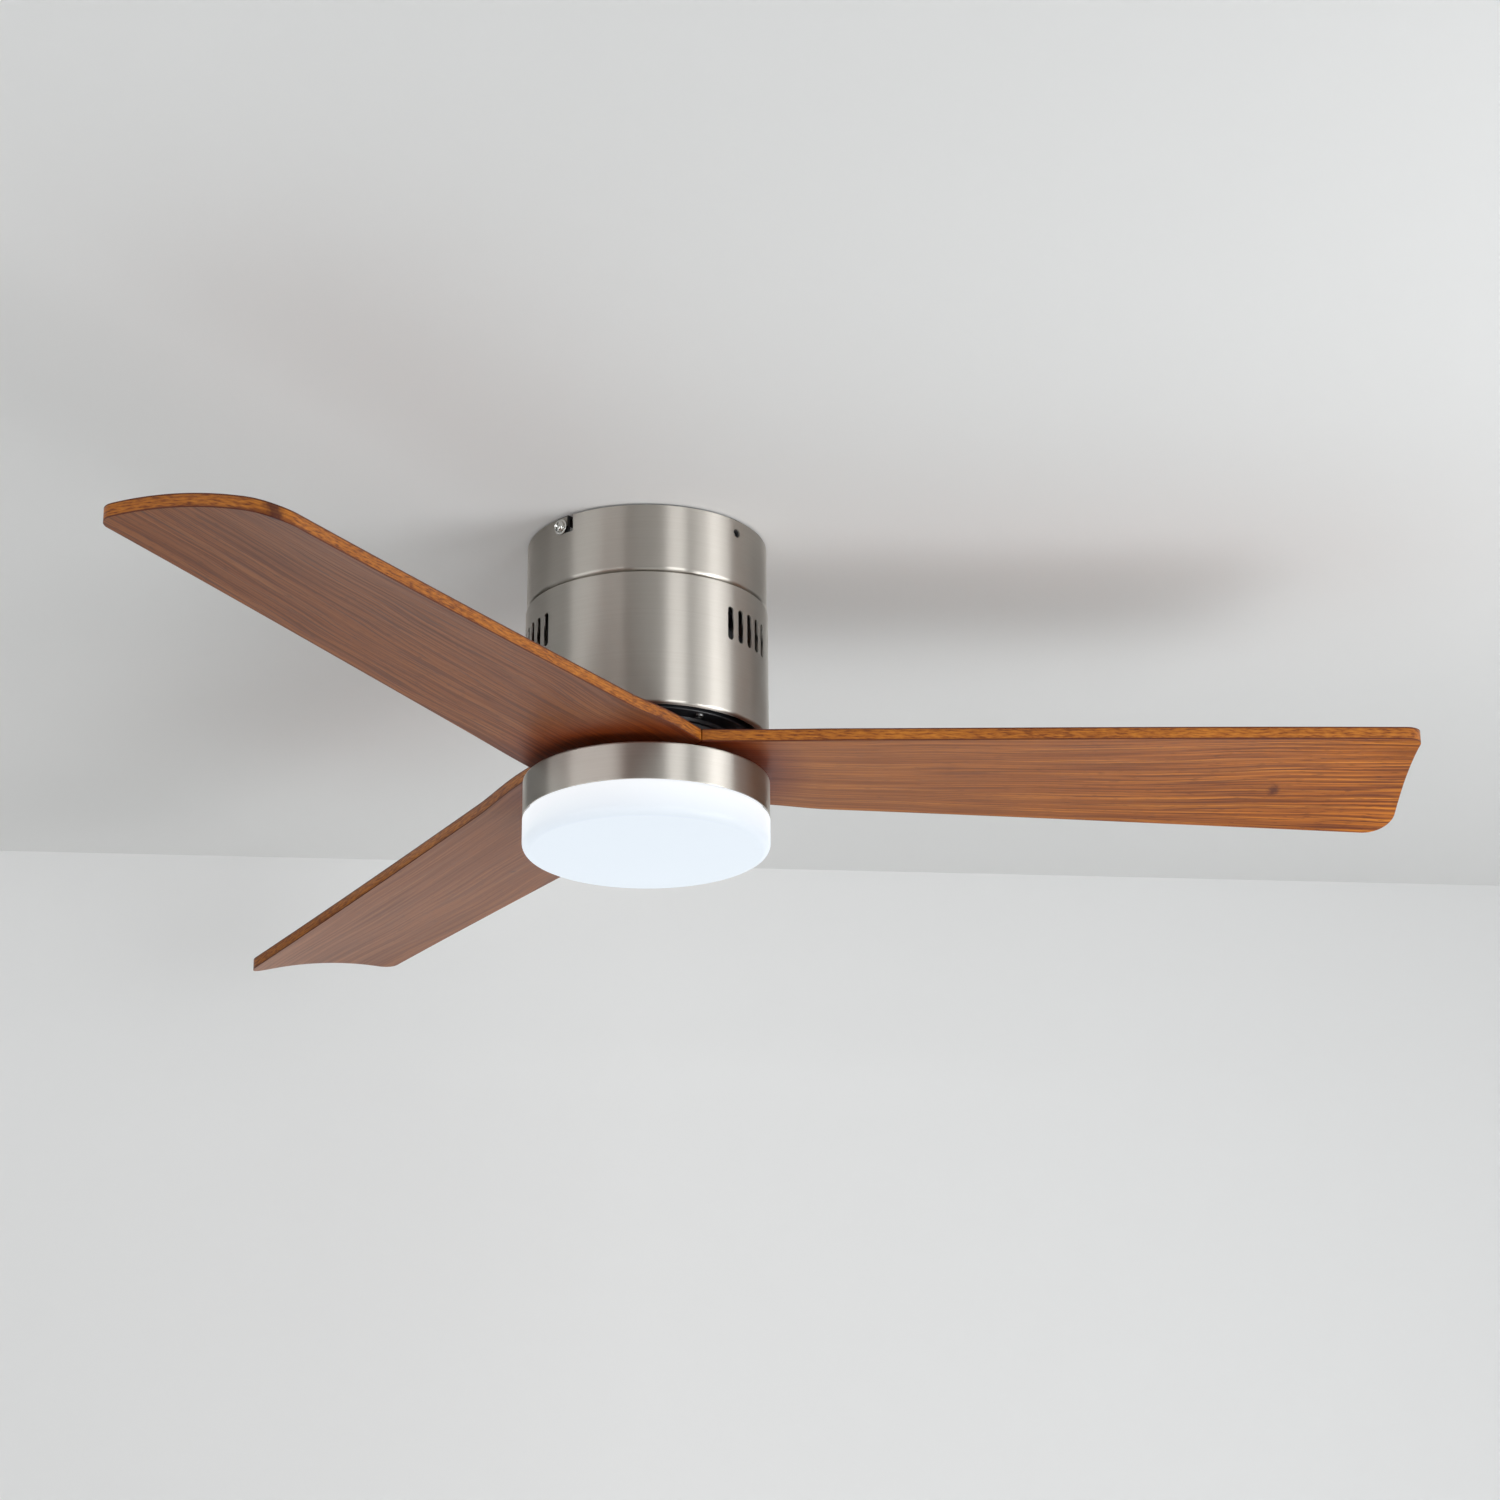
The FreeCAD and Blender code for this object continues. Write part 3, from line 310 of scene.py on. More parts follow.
MATS = {
    "satin_nickel": nickel(),
    "opal_acrylic": opal(),
    "black_paint": simple("black_paint", (0.010, 0.010, 0.012), (0.020, 0.020, 0.023), 0.0, 0.32, 0.45, 120, 0.12, 0.00008),
    "black_steel": simple("black_steel", (0.012, 0.012, 0.013), (0.024, 0.024, 0.026), 0.0, 0.45, 0.6, 160, 0.15, 0.00008),
    "zinc_steel": simple("zinc_steel", (0.50, 0.51, 0.52), (0.66, 0.67, 0.67), 1.0, 0.28, 0.42, 45, 0.06),
    "zinc_bright": simple("zinc_bright", (0.68, 0.68, 0.65), (0.80, 0.80, 0.77), 1.0, 0.16, 0.27, 150, 0.05),
    "bare_steel": simple("bare_steel", (0.42, 0.42, 0.43), (0.55, 0.55, 0.56), 1.0, 0.22, 0.34, 1.0, 0.06, stretch=(60, 60, 4000)),
    "bearing_steel": simple("bearing_steel", (0.62, 0.62, 0.64), (0.74, 0.74, 0.76), 1.0, 0.10, 0.18, 80, 0.03),
    "black_oxide": simple("black_oxide", (0.03, 0.03, 0.032), (0.06, 0.06, 0.065), 0.8, 0.35, 0.5, 120),
    "lamination_steel": simple("lamination_steel", (0.12, 0.12, 0.13), (0.26, 0.26, 0.28), 0.8, 0.35, 0.5, 1.0, 0.3, 0.0001, (8, 8, 2000)),
    "copper_enamel": simple("copper_enamel", (0.42, 0.14, 0.04), (0.66, 0.28, 0.10), 0.9, 0.22, 0.32, 1.0, 0.4, 0.0002, (300, 300, 1600)),
    "ferrite": simple("ferrite", (0.05, 0.05, 0.055), (0.09, 0.09, 0.095), 0.2, 0.45, 0.6, 200),
    "brass_screw": simple("brass_screw", (0.60, 0.42, 0.14), (0.74, 0.54, 0.22), 1.0, 0.2, 0.3, 120),
    "ivory_plastic": simple("ivory_plastic", (0.70, 0.68, 0.61), (0.77, 0.75, 0.68), 0.0, 0.42, 0.55, 500, 0.2, 0.00006),
    "black_plastic": simple("black_plastic", (0.018, 0.018, 0.02), (0.030, 0.030, 0.032), 0.0, 0.42, 0.55, 500, 0.25, 0.00008),
    "black_rubber": simple("black_rubber", (0.015, 0.015, 0.015), (0.03, 0.03, 0.03), 0.0, 0.6, 0.75, 300, 0.2),
    "white_solder_mask": simple("white_solder_mask", (0.80, 0.81, 0.80), (0.88, 0.89, 0.88), 0.0, 0.28, 0.36, 70),
    "led_phosphor": simple("led_phosphor", (0.85, 0.70, 0.16), (0.95, 0.82, 0.30), 0.0, 0.3, 0.4, 400),
    "grey_sheath": simple("grey_sheath", (0.16, 0.16, 0.17), (0.22, 0.22, 0.23), 0.0, 0.45, 0.6, 300, 0.2),
}
WOOD = [wood(k) for k in range(3)]


# ------------------------------------------------------------------ mesh helpers
def new_obj(name, bm, mat, body, slot, *nodes):
    me = bpy.data.meshes.new(name)
    bm.to_mesh(me)
    bm.free()
    o = bpy.data.objects.new(name, me)
    coll.objects.link(o)
    if mat is not None:
        me.materials.append(mat)
    if body:
        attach(o, body)
    if nodes:
        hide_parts(*nodes)
    return o


def rounded(pts, seg=6):
    """(r, z[, radius]) corners of a closed profile to a dense list of points."""
    n = len(pts)
    out = []
    for i in range(n):
        p = pts[i]
        R = p[2] if len(p) > 2 else 0.0
        b = Vector((p[0], p[1]))
        if R <= 0:
            out.append((b.x, b.y))
            continue
        a, c = Vector(pts[i - 1][:2]), Vector(pts[(i + 1) % n][:2])
        u, v = (a - b).normalized(), (c - b).normalized()
        ang = u.angle(v)
        t = R / math.tan(ang / 2)
        ctr = b + (u + v).normalized() * (R / math.sin(ang / 2))
        p1, p2 = b + u * t, b + v * t
        a1, a2 = math.atan2(*(p1 - ctr).yx), math.atan2(*(p2 - ctr).yx)
        d = (a2 - a1 + math.pi) % (2 * math.pi) - math.pi
        for k in range(seg + 1):
            an = a1 + d * k / seg
            out.append((ctr.x + R * math.cos(an), ctr.y + R * math.sin(an)))
    return out


def lathe(pts, seg=256, phase=0.0):
    """bmesh of a closed profile turned round Z; points on the axis become poles."""
    bm = bmesh.new()
    rings = []
    for r, z in pts:
        if r < 1e-6:
            rings.append([bm.verts.new((0, 0, z * MM))])
        else:
            rings.append([bm.verts.new((r * MM * math.cos(2 * math.pi * (k + phase) / seg), r * MM * math.sin(2 * math.pi * (k + phase) / seg), z * MM)) for k in range(seg)])
    n = len(rings)
    for i in range(n):
        a, b = rings[i], rings[(i + 1) % n]
        if len(a) == 1 and len(b) == 1:
            continue
        for k in range(seg):
            k2 = (k + 1) % seg
            if len(a) == 1:
                bm.faces.new((a[0], b[k2], b[k]))
            elif len(b) == 1:
                bm.faces.new((a[k], a[k2], b[0]))
            else:
                bm.faces.new((a[k], a[k2], b[k2], b[k]))
    bmesh.ops.recalc_face_normals(bm, faces=bm.faces)
    return bm


def prism(outline, axis_from, axis_to, place):
    """Closed prism of a 2-D outline; place(u, v, w) gives the 3-D point."""
    bm = bmesh.new()
    lo = [bm.verts.new(place(u, v, axis_from)) for u, v in outline]
    hi = [bm.verts.new(place(u, v, axis_to)) for u, v in outline]
    bm.faces.new(lo[::-1])
    bm.faces.new(hi)
    n = len(outline)
    for i in range(n):
        j = (i + 1) % n
        bm.faces.new((lo[i], lo[j], hi[j], hi[i]))
    bmesh.ops.recalc_face_normals(bm, faces=bm.faces)
    return bm


def obround_pts(w, length, seg=10):
    r, h = w / 2, length / 2 - w / 2
    top = [(r * math.cos(math.pi * k / seg), h + r * math.sin(math.pi * k / seg)) for k in range(seg + 1)]
    return top + [(-x, -y) for x, y in top]


def circle_pts(r, seg=32):
    return [(r * math.cos(2 * math.pi * k / seg), r * math.sin(2 * math.pi * k / seg)) for k in range(seg)]


def radial_place(az, z0):
    """Place a (across, up, along-radius) point on the drum at azimuth az, in mm."""
    a = math.radians(az)
    er, et = Vector((math.cos(a), math.sin(a), 0)), Vector((-math.sin(a), math.cos(a), 0))
    return lambda u, v, w: (er * w + et * u + Vector((0, 0, z0 + v))) * MM


def join(bms):
    out = bmesh.new()
    for b in bms:
        me = bpy.data.meshes.new("tmp")
        b.to_mesh(me)
        b.free()
        out.from_mesh(me)
        bpy.data.meshes.remove(me)
    return out


def cut(o, cutters):
    """Exact boolean difference, applied."""
    me = bpy.data.meshes.new("cutter")
    b = join(cutters)
    b.to_mesh(me)
    b.free()
    c = bpy.data.objects.new("cutter", me)
    coll.objects.link(c)
    m = o.modifiers.new("cut", "BOOLEAN")
    m.operation, m.solver, m.object, m.use_self = "DIFFERENCE", "EXACT", c, True
    apply_all(o)
    bpy.data.objects.remove(c)
    bpy.data.meshes.remove(me)


def apply_all(o):
    dg = bpy.context.evaluated_depsgraph_get()
    me = bpy.data.meshes.new_from_object(o.evaluated_get(dg), preserve_all_data_layers=True, depsgraph=dg)
    old = o.data
    o.modifiers.clear()
    o.data = me
    bpy.data.meshes.remove(old)


def smooth(o, angle=35.0, drum=None):
    """Smooth shading with sharp edges kept. drum: true normals on round walls of these radii (mm)."""
    me = o.data
    me.polygons.foreach_set("use_smooth", [True] * len(me.polygons))
    bm = bmesh.new()
    bm.from_mesh(me)
    lim = math.radians(angle)
    for e in bm.edges:
        e.smooth = not (len(e.link_faces) == 2 and e.calc_face_angle(0) > lim)
    bm.to_mesh(me)
    bm.free()
    if drum:
        me.update()
        normals = [tuple(c.vector) for c in me.corner_normals]
        for p in me.polygons:
            if abs(p.normal.z) > 0.02:
                continue
            for li in p.loop_indices:
                v = me.vertices[me.loops[li].vertex_index].co
                r = math.hypot(v.x, v.y)
                if any(abs(r / MM - d) < 0.06 for d in drum):
                    rad = Vector((v.x / r, v.y / r, 0))
                    s = 1 if rad.dot(p.normal) > 0 else -1
                    if abs(rad.dot(p.normal)) > 0.9:
                        normals[li] = tuple(rad * s)
        me.normals_split_custom_set(normals)


# ------------------------------------------------------------------ canopy
pts = rounded([(CAN_R, -CAN_GAP, 0.3), (CAN_R, -CAN_H, CAN_LIP + 0.9), (12.0, -CAN_H), (12.0, -CAN_H + CAN_T),
               (CAN_R - CAN_T, -CAN_H + CAN_T, CAN_LIP + 0.9 - CAN_T), (CAN_R - CAN_T, -CAN_GAP)], 8)
canopy = new_obj("canopy_shell", lathe(pts, 288), MATS["satin_nickel"], "root", "satin_nickel", "canopy")
cc = []
for az in LSLOT_AZ:
    hw = LSLOT_W / 2
    # one outline in (arc length, height): entry leg, short leg, detent
    d = math.radians(abs(LSLOT_TURN)) * CAN_R
    out = [(hw, 2), (hw, LSLOT_Z + 1.2), (hw - 0.35, LSLOT_Z + 0.35), (hw - 1.2, LSLOT_Z),
           (-d - hw + 1.2, LSLOT_Z), (-d - hw + 0.35, LSLOT_Z + 0.35), (-d - hw, LSLOT_Z + 1.2), (-d - hw, -7.8),
           (-d - hw + 0.35, -6.95), (-d - hw + 1.2, -6.6), (-d + hw - 1.2, -6.6), (-d + hw - 0.35, -6.95), (-d + hw, -7.8), (-d + hw, -9.6), (-hw, -9.6), (-hw, 2)]
    out = [(u, v) for u, v in out]
    f = lambda u, v, w, az=az: Vector((w * math.cos(math.radians(az) + u / CAN_R), w * math.sin(math.radians(az) + u / CAN_R), v)) * MM
    cc.append(prism(out, CAN_R - 3.5, CAN_R + 2, f))
for az in HOLE_AZ:
    cc.append(prism(circle_pts(HOLE_R + 0.4), CAN_R - 4, CAN_R + 3, radial_place(az, HOLE_Z)))
for az in (0, 90, 180, 270):
    a = math.radians(az)
    cc.append(prism([(62 * math.cos(a) + x, 62 * math.sin(a) + y) for x, y in circle_pts(2.6, 20)], -CAN_H - 1, -CAN_H + CAN_T + 1, lambda u, v, w: Vector((u, v, w)) * MM))
cut(canopy, cc)
smooth(canopy, 35, (CAN_R, CAN_R - CAN_T))

# ------------------------------------------------------------------ motor housing
pts = rounded([(HOU_R, HOU_TOP - 0.8, 0.9), (HOU_R, HOU_BOT, 3.0), (HOU_LIP_R, HOU_BOT, 0.5), (HOU_LIP_R, HOU_BOT + HOU_T),
               (HOU_R - HOU_T, HOU_BOT + HOU_T, 1.8), (HOU_R - HOU_T, HOU_TOP - 0.8 - HOU_T), (18.0, HOU_TOP - 0.8 - HOU_T), (18.0, HOU_TOP - 0.8)], 8)
housing = new_obj("housing_shell", lathe(pts, 288), MATS["satin_nickel"], "root", "satin_nickel", "motor_housing")
cc = []
for g in SLOT_GROUPS:
    for k in range(SLOT_N):
        az = g + (k - (SLOT_N - 1) / 2) * SLOT_PITCH
        cc.append(prism(obround_pts(SLOT_W, SLOT_TOP - SLOT_BOT), HOU_R - 4, HOU_R + 3, radial_place(az, (SLOT_TOP + SLOT_BOT) / 2)))
cut(housing, cc)
smooth(housing, 35, (HOU_R, HOU_R - HOU_T))

# ------------------------------------------------------------------ light pan
pts = rounded([(PAN_R, PAN_TOP, 2.0), (PAN_R, PAN_BOT, 0.5), (PAN_R - PAN_T, PAN_BOT, 0.3), (PAN_R - PAN_T, PAN_TOP - PAN_T, 1.0),
               (SHAFT_R + 0.3, PAN_TOP - PAN_T), (SHAFT_R + 0.3, PAN_TOP)], 8)
pan = new_obj("light_pan_shell", lathe(pts, 288), MATS["satin_nickel"], "root", "satin_nickel", "light_pan")
smooth(pan, 35, (PAN_R, PAN_R - PAN_T))

# ------------------------------------------------------------------ shade
NK_R, NK_TOP, SHI = 100.6, -242.0, SHADE_R - SHADE_T
pts = rounded([(SHADE_R, SHADE_TOP, 0.8), (SHADE_R, SHADE_BOT, SHADE_EDGE), (0, SHADE_BOT), (0, SHADE_BOT + SHADE_T),
               (SHI, SHADE_BOT + SHADE_T, SHADE_EDGE - SHADE_T), (SHI, SHADE_TOP - 2.2), (NK_R - 2.0, SHADE_TOP - 2.2), (NK_R - 2.0, NK_TOP),
               (NK_R, NK_TOP, 0.6), (NK_R, SHADE_TOP)], 12)
bms = [lathe(pts, 288)]
for a0 in (30, 150, 270):
    arc = [(103.3 * math.cos(math.radians(a0 + t)), 103.3 * math.sin(math.radians(a0 + t))) for t in [-8 + 16 * i / 12 for i in range(13)]]
    arc += [(100.2 * math.cos(math.radians(a0 + t)), 100.2 * math.sin(math.radians(a0 + t))) for t in [8 - 16 * i / 12 for i in range(13)]]
    bms.append(prism(arc, -245.0, -242.8, lambda u, v, w: Vector((u, v, w)) * MM))
shade = new_obj("shade_opal", join(bms), MATS["opal_acrylic"], "shade_body", "opal_acrylic", "shade")
smooth(shade, 35)

# ------------------------------------------------------------------ rotor plate
BS_T = -192.0
pts = rounded([(PLATE_R, PL_TOP, 0.6), (PLATE_R, -181.6, 1.3), (79, -181.6, 0.8), (77.5, -184.6, 0.8), (75, -184.6, 0.6), (74, BLADE_TOP, 1.0),
               (14, BLADE_TOP), (14, -191.0), (17.52, -191.0), (17.52, -178), (22, -178), (23, BS_T, 2.0), (70, BS_T, 2.0), (71.5, PL_TOP)], 6)
plate = new_obj("rotor_plate_black", lathe(pts, 192), MATS["black_paint"], "rotor", "black_paint", "rotor_plate")
smooth(plate, 35, (PLATE_R,))


# ------------------------------------------------------------------ screws
def screw_bm(head_r, head_h, shank_r, length, turn=0.0, seg=40):
    """Pan head with a tapered cross recess and a shank with thread rings. Head up from z = 0."""
    pr = rounded([(0, head_h), (head_r * 0.93, head_h, head_h * 0.62), (head_r, 0.0, 0.12), (shank_r, 0)], 6)
    prof = pr[:]
    z, pitch = -0.6, 0.8
    while z > -length + 1.2:
        prof += [(shank_r, z), (shank_r * 0.86, z - pitch * 0.5)]
        z -= pitch
    prof += [(shank_r, z), (shank_r * 0.7, -length), (0, -length)]
    bm = lathe(prof, seg)
    w, t, dp = head_r * 0.70, head_r * 0.16, head_h * 0.66
    for ang in (turn, turn + 90):
        a = math.radians(ang)
        def place(u, v, wz, a=a):
            k = 1.0 - 0.45 * (head_h + 0.2 - wz) / (dp + 0.2)
            return Vector((k * (u * math.cos(a) - v * math.sin(a)), k * (u * math.sin(a) + v * math.cos(a)), wz)) * MM
        cutters.append(prism([(-w, -t), (w, -t), (w, t), (-w, t)], head_h - dp, head_h + 0.2, place))
    return bm


def make_screws(name, spec, placements, mat, body, slot, *nodes):
    """One object of identical screws; placements are (position mm, direction)."""
    global cutters
    cutters = []
    bm = screw_bm(*spec)
    o = new_obj(name, bm, mat, body, slot, *nodes)
    cut(o, cutters)
    base = o.data
    bms = []
    for pos, d in placements:
        b = bmesh.new()
        b.from_mesh(base)
        q = Vector((0, 0, 1)).rotation_difference(Vector(d))
        b.transform(Matrix.Translation(Vector(pos) * MM) @ q.to_matrix().to_4x4())
        bms.append(b)
    out = join(bms)
    out.to_mesh(base)
    out.free()
    smooth(o, 40)
    return o


def polar(r, az, z):
    a = math.radians(az)
    return (r * math.cos(a), r * math.sin(a), z)


def out_dir(az):
    a = math.radians(az)
    return (math.cos(a), math.sin(a), 0)


EAR = [LSLOT_AZ[0] + LSLOT_TURN, LSLOT_AZ[1] + LSLOT_TURN]
make_screws("canopy_screw_pair", (5.0, 3.6, 2.5, 11.0, 25.0), [(polar(CAN_R + 1.6, a, SCREW_Z), out_dir(a)) for a in EAR],
            MATS["zinc_bright"], "root", "zinc_bright", "canopy_screws")
bms = []
for a in EAR:
    prof = rounded([(6.9, 0.0, 0.25), (6.9, 1.2, 0.3), (2.6, 1.2, 0.2), (2.6, 0.0)], 4)
    b = lathe(prof, 48)
    q = Vector((0, 0, 1)).rotation_difference(Vector(out_dir(a)))
    b.transform(Matrix.Translation(Vector(polar(CAN_R + 0.3, a, SCREW_Z)) * MM) @ q.to_matrix().to_4x4())
    bms.append(b)
wash = new_obj("canopy_washer_pair", join(bms), MATS["zinc_bright"], "root", "zinc_bright", "canopy_washers")
smooth(wash, 40)
# the rotor screws take a darker copy of the bright zinc: partly a duller finish, partly painted shade for their place
# under the housing
make_screws("rotor_screw_set", (3.9, 2.7, 2.0, 11.5, 10.0), [(polar(88.7, 60 * k, -181.6), (0, 0, -1)) for k in range(6)],
            simple("zinc_dull_and_shaded", (0.16, 0.16, 0.16), (0.24, 0.24, 0.235), 1.0, 0.26, 0.36, 150, 0.05), "rotor", "zinc_bright", "rotor_screws")

# ------------------------------------------------------------------ blades
def z_le(x):
    u = x / SWEEP_R
    return BLADE_TOP - BLADE_T + 0.2 + 1.3 * u + 10.1 * u * u - 7.6 * u ** 3


def z_te(x):
    u = x / SWEEP_R
    return BLADE_TOP - BLADE_T + 0.2 - 21.5 * u - 14.6 * u * u + 9.3 * u ** 3


def z_bot(x, y):
    s = (y + BLADE_W / 2) / BLADE_W
    u = x / SWEEP_R
    w = (1 - s) * z_le(x) + s * z_te(x) + 4 * 8.9 * u * u * s * (1 - s)
    t = min(max((x - 76.0) / 84.0, 0.0), 1.0)
    t = t * t * (3 - 2 * t)
    return (1 - t) * (BLADE_TOP - SEAT_GAP - BLADE_T) + t * w


def blade_plan():
    """Grid of (x, y) over one blade, root arc to tip."""
    hw, c = BLADE_W / 2, SEAM / 2
    n60 = math.radians(60)
    ox = c / math.sin(n60)
    xr = ox + hw / math.tan(n60)
    r1, r2, T = 14.0, 26.0, SWEEP_R
    NS = 36
    SS = [0.0, 0.008] + [k / NS for k in range(1, NS)] + [0.992, 1.0]
    # where the root arc meets the wedge lines
    th = math.asin(c / BLADE_HOLE * 1.0)
    a_in = n60 - th
    xm = T - r2

    def te(x):
        # circle through (xm, hw), mid, (xr, hw)
        h = (xm - xr) / 2
        R = (h * h + TE_BOW * TE_BOW) / (2 * TE_BOW)
        cxx = (xm + xr) / 2
        return hw - TE_BOW + R - math.sqrt(max(R * R - (x - cxx) ** 2, 0)) if x < xm else hw
    X1 = 112.0
    p0m = (BLADE_HOLE * math.cos(a_in), -BLADE_HOLE * math.sin(a_in))
    L1 = math.hypot(xr - p0m[0], hw + p0m[1])
    L2 = X1 - xr
    n1, n2 = 9, 9
    rows = []
    for i in range(n1 + n2):
        if i <= n1:
            q = i / n1
            lo = (p0m[0] + (xr - p0m[0]) * q, p0m[1] + (-hw - p0m[1]) * q)
            t = q * L1 / (L1 + L2)
        else:
            q = (i - n1) / n2
            lo = (xr + L2 * q, -hw)
            t = (L1 + q * L2) / (L1 + L2)
        hi = (lo[0], -lo[1] if i <= n1 else te(lo[0]))
        row = []
        for s in SS:
            ph = -a_in + 2 * a_in * s
            c0 = (BLADE_HOLE * math.cos(ph), BLADE_HOLE * math.sin(ph))
            c1 = (X1, -hw + (te(X1) + hw) * s)
            b = ((1 - s) * ((1 - t) * p0m[0] + t * X1) + s * ((1 - t) * p0m[0] + t * X1),
                 (1 - s) * ((1 - t) * p0m[1] - t * hw) + s * (-(1 - t) * p0m[1] + t * te(X1)))
            x = (1 - t) * c0[0] + t * c1[0] + (1 - s) * lo[0] + s * hi[0] - b[0]
            y = (1 - t) * c0[1] + t * c1[1] + (1 - s) * lo[1] + s * hi[1] - b[1]
            row.append((x, y))
        rows.append(row)
    xs = [X1 + (T - r2 - X1) * i / 60 for i in range(61)]
    m = 16
    xs += [T - r2 + r2 * math.sin(math.pi / 2 * i / m) for i in range(1, m + 1)]
    for x in xs:
        lo = -hw if x <= T - r1 else -hw + r1 - math.sqrt(max(r1 * r1 - (x - T + r1) ** 2, 0))
        hi = te(x) if x <= T - r2 else hw - r2 + math.sqrt(max(r2 * r2 - (x - T + r2) ** 2, 0))
        rows.append([(x, lo + (hi - lo) * s) for s in SS])
    return rows


def blade_mesh(k):
    rows = blade_plan()
    nr, nc = len(rows), len(rows[0])
    bm = bmesh.new()
    lo, hi = [], []
    for row in rows:
        lo.append([bm.verts.new((x * MM, y * MM, z_bot(x, y) * MM)) for x, y in row])
        hi.append([bm.verts.new((x * MM, y * MM, (z_bot(x, y) + BLADE_T) * MM)) for x, y in row])
    for i in range(nr - 1):
        for j in range(nc - 1):
            bm.faces.new((lo[i][j], lo[i][j + 1], lo[i + 1][j + 1], lo[i + 1][j]))
            bm.faces.new((hi[i][j], hi[i + 1][j], hi[i + 1][j + 1], hi[i][j + 1]))
    ring = [(i, 0) for i in range(nr)] + [(nr - 1, j) for j in range(1, nc)] + [(i, nc - 1) for i in range(nr - 2, -1, -1)] + [(0, j) for j in range(nc - 2, 0, -1)]
    for q in range(len(ring)):
        a, b = ring[q], ring[(q + 1) % len(ring)]
        bm.faces.new((lo[a[0]][a[1]], lo[b[0]][b[1]], hi[b[0]][b[1]], hi[a[0]][a[1]]))
    bmesh.ops.recalc_face_normals(bm, faces=bm.faces)
    arris = [e for e in bm.edges if len(e.link_faces) == 2 and e.calc_face_angle(0) > math.radians(50)]
    bmesh.ops.bevel(bm, geom=arris, offset=0.8 * MM, offset_type="OFFSET", segments=4, profile=0.5, affect="EDGES", clamp_overlap=True)
    pl = bm.verts.layers.float.new("ply")
    ed = bm.verts.layers.float.new("edge")
    for v in bm.verts:
        x, y = v.co.x / MM, v.co.y / MM
        v[pl] = min(max((v.co.z / MM - z_bot(x, y)) / BLADE_T, 0.0), 1.0)
    bm.normal_update()
    for v in bm.verts:
        side = max((abs(f.normal.z) < 0.86) for f in v.link_faces)
        v[ed] = 1.0 if all(abs(f.normal.z) < 0.93 for f in v.link_faces) or 0.02 < v[pl] < 0.98 else (0.45 if side else 0.0)
    bm.transform(Matrix.Rotation(2 * math.pi / 3 * k, 4, "Z"))
    return bm


for k in range(3):
    b = new_obj("blade_%d_veneer" % (k + 1), blade_mesh(k), WOOD[k], "rotor", "walnut_ply", "blade_%d" % (k + 1))
    smooth(b, 40)

# ------------------------------------------------------------------ materials of the CAD nodes that stay
SLOTS = {s["node"]: s["material_slot"] for s in frame["record"]["subparts"]}
for name, o in frame["nodes"].items():
    m = MATS.get(SLOTS.get(name))
    if m is not None:
        if not o.data.materials:
            o.data.materials.append(m)
        for i in range(len(o.material_slots)):
            o.material_slots[i].material = m

# ------------------------------------------------------------------ stage
def stage_mat(name, col, see_through_back=True, lift=0.0, painted_falloff=None):
    M = Mat(name)
    n = M.noise(M.obj(), 0.6, 3.0, 0.5)
    c = M.ramp(n, [(0.3, tuple(v * 0.985 for v in col)), (0.7, col)])
    if painted_falloff:
        # painted shade: the ceiling and wall darken a little to the right
        sx = M.n("ShaderNodeSeparateXYZ")
        M.link(M.obj(), sx.inputs[0])
        q = M.remap(sx.outputs[0], *painted_falloff)
        cc = M.n("ShaderNodeCombineXYZ")
        for i in range(3):
            M.link(q, cc.inputs[i])
        c = M.mix(1.0, c, cc.outputs[0], "MULTIPLY")
    d = M.n("ShaderNodeBsdfDiffuse")
    M.link(c, d.inputs[0])
    if lift:
        # a little glow stands for light bounced round the rest of the room
        e = M.n("ShaderNodeEmission")
        e.inputs[1].default_value = lift
        M.link(c, e.inputs[0])
        ad = M.n("ShaderNodeAddShader")
        M.link(d.outputs[0], ad.inputs[0])
        M.link(e.outputs[0], ad.inputs[1])
        d = ad
    if see_through_back:
        g = M.n("ShaderNodeNewGeometry")
        t = M.n("ShaderNodeBsdfTransparent")
        mx = M.n("ShaderNodeMixShader")
        M.link(g.outputs["Backfacing"], mx.inputs[0])
        M.link(d.outputs[0], mx.inputs[1])
        M.link(t.outputs[0], mx.inputs[2])
        M.link(mx.outputs[0], M.out.inputs[0])
    else:
        M.link(d.outputs[0], M.out.inputs[0])
    return M.m


def quad(name, pts, mat):
    me = bpy.data.meshes.new(name)
    me.from_pydata([Vector(p) for p in pts], [], [(0, 1, 2, 3)])
    o = bpy.data.objects.new(name, me)
    coll.objects.link(o)
    me.materials.append(mat)
    return o


WALL_A, WALL_B = (-4.5, 0.5887), (4.5, 1.2002)       # the wall's foot line seen from above, (x, y)
CEIL = stage_mat("stage_ceiling", (0.800, 0.799, 0.790), lift=0.075, painted_falloff=(-0.3, 0.8, 1.0, 0.87))
WALL = stage_mat("stage_wall", (0.780, 0.779, 0.772), lift=0.112, painted_falloff=(0.0, 0.95, 1.0, 0.80))
FLOOR = stage_mat("stage_floor", (0.78, 0.78, 0.77))
ZC = 0.0004
quad("ceiling", [(-4.5, -7.0, ZC), (WALL_A[0], WALL_A[1], ZC), (WALL_B[0], WALL_B[1], ZC), (4.5, -7.0, ZC)], CEIL)
quad("wall", [(WALL_A[0], WALL_A[1], ZC), (WALL_A[0], WALL_A[1], -2.45), (WALL_B[0], WALL_B[1], -2.45), (WALL_B[0], WALL_B[1], ZC)], WALL)
quad("floor", [(-9, -12, -2.45), (9, -12, -2.45), (9, 9, -2.45), (-9, 9, -2.45)], FLOOR)

w = bpy.data.worlds.new("studio")
scene.world = w
w.use_nodes = True
bg = w.node_tree.nodes["Background"]
bg.inputs[0].default_value = (0.93, 0.96, 1.0, 1)
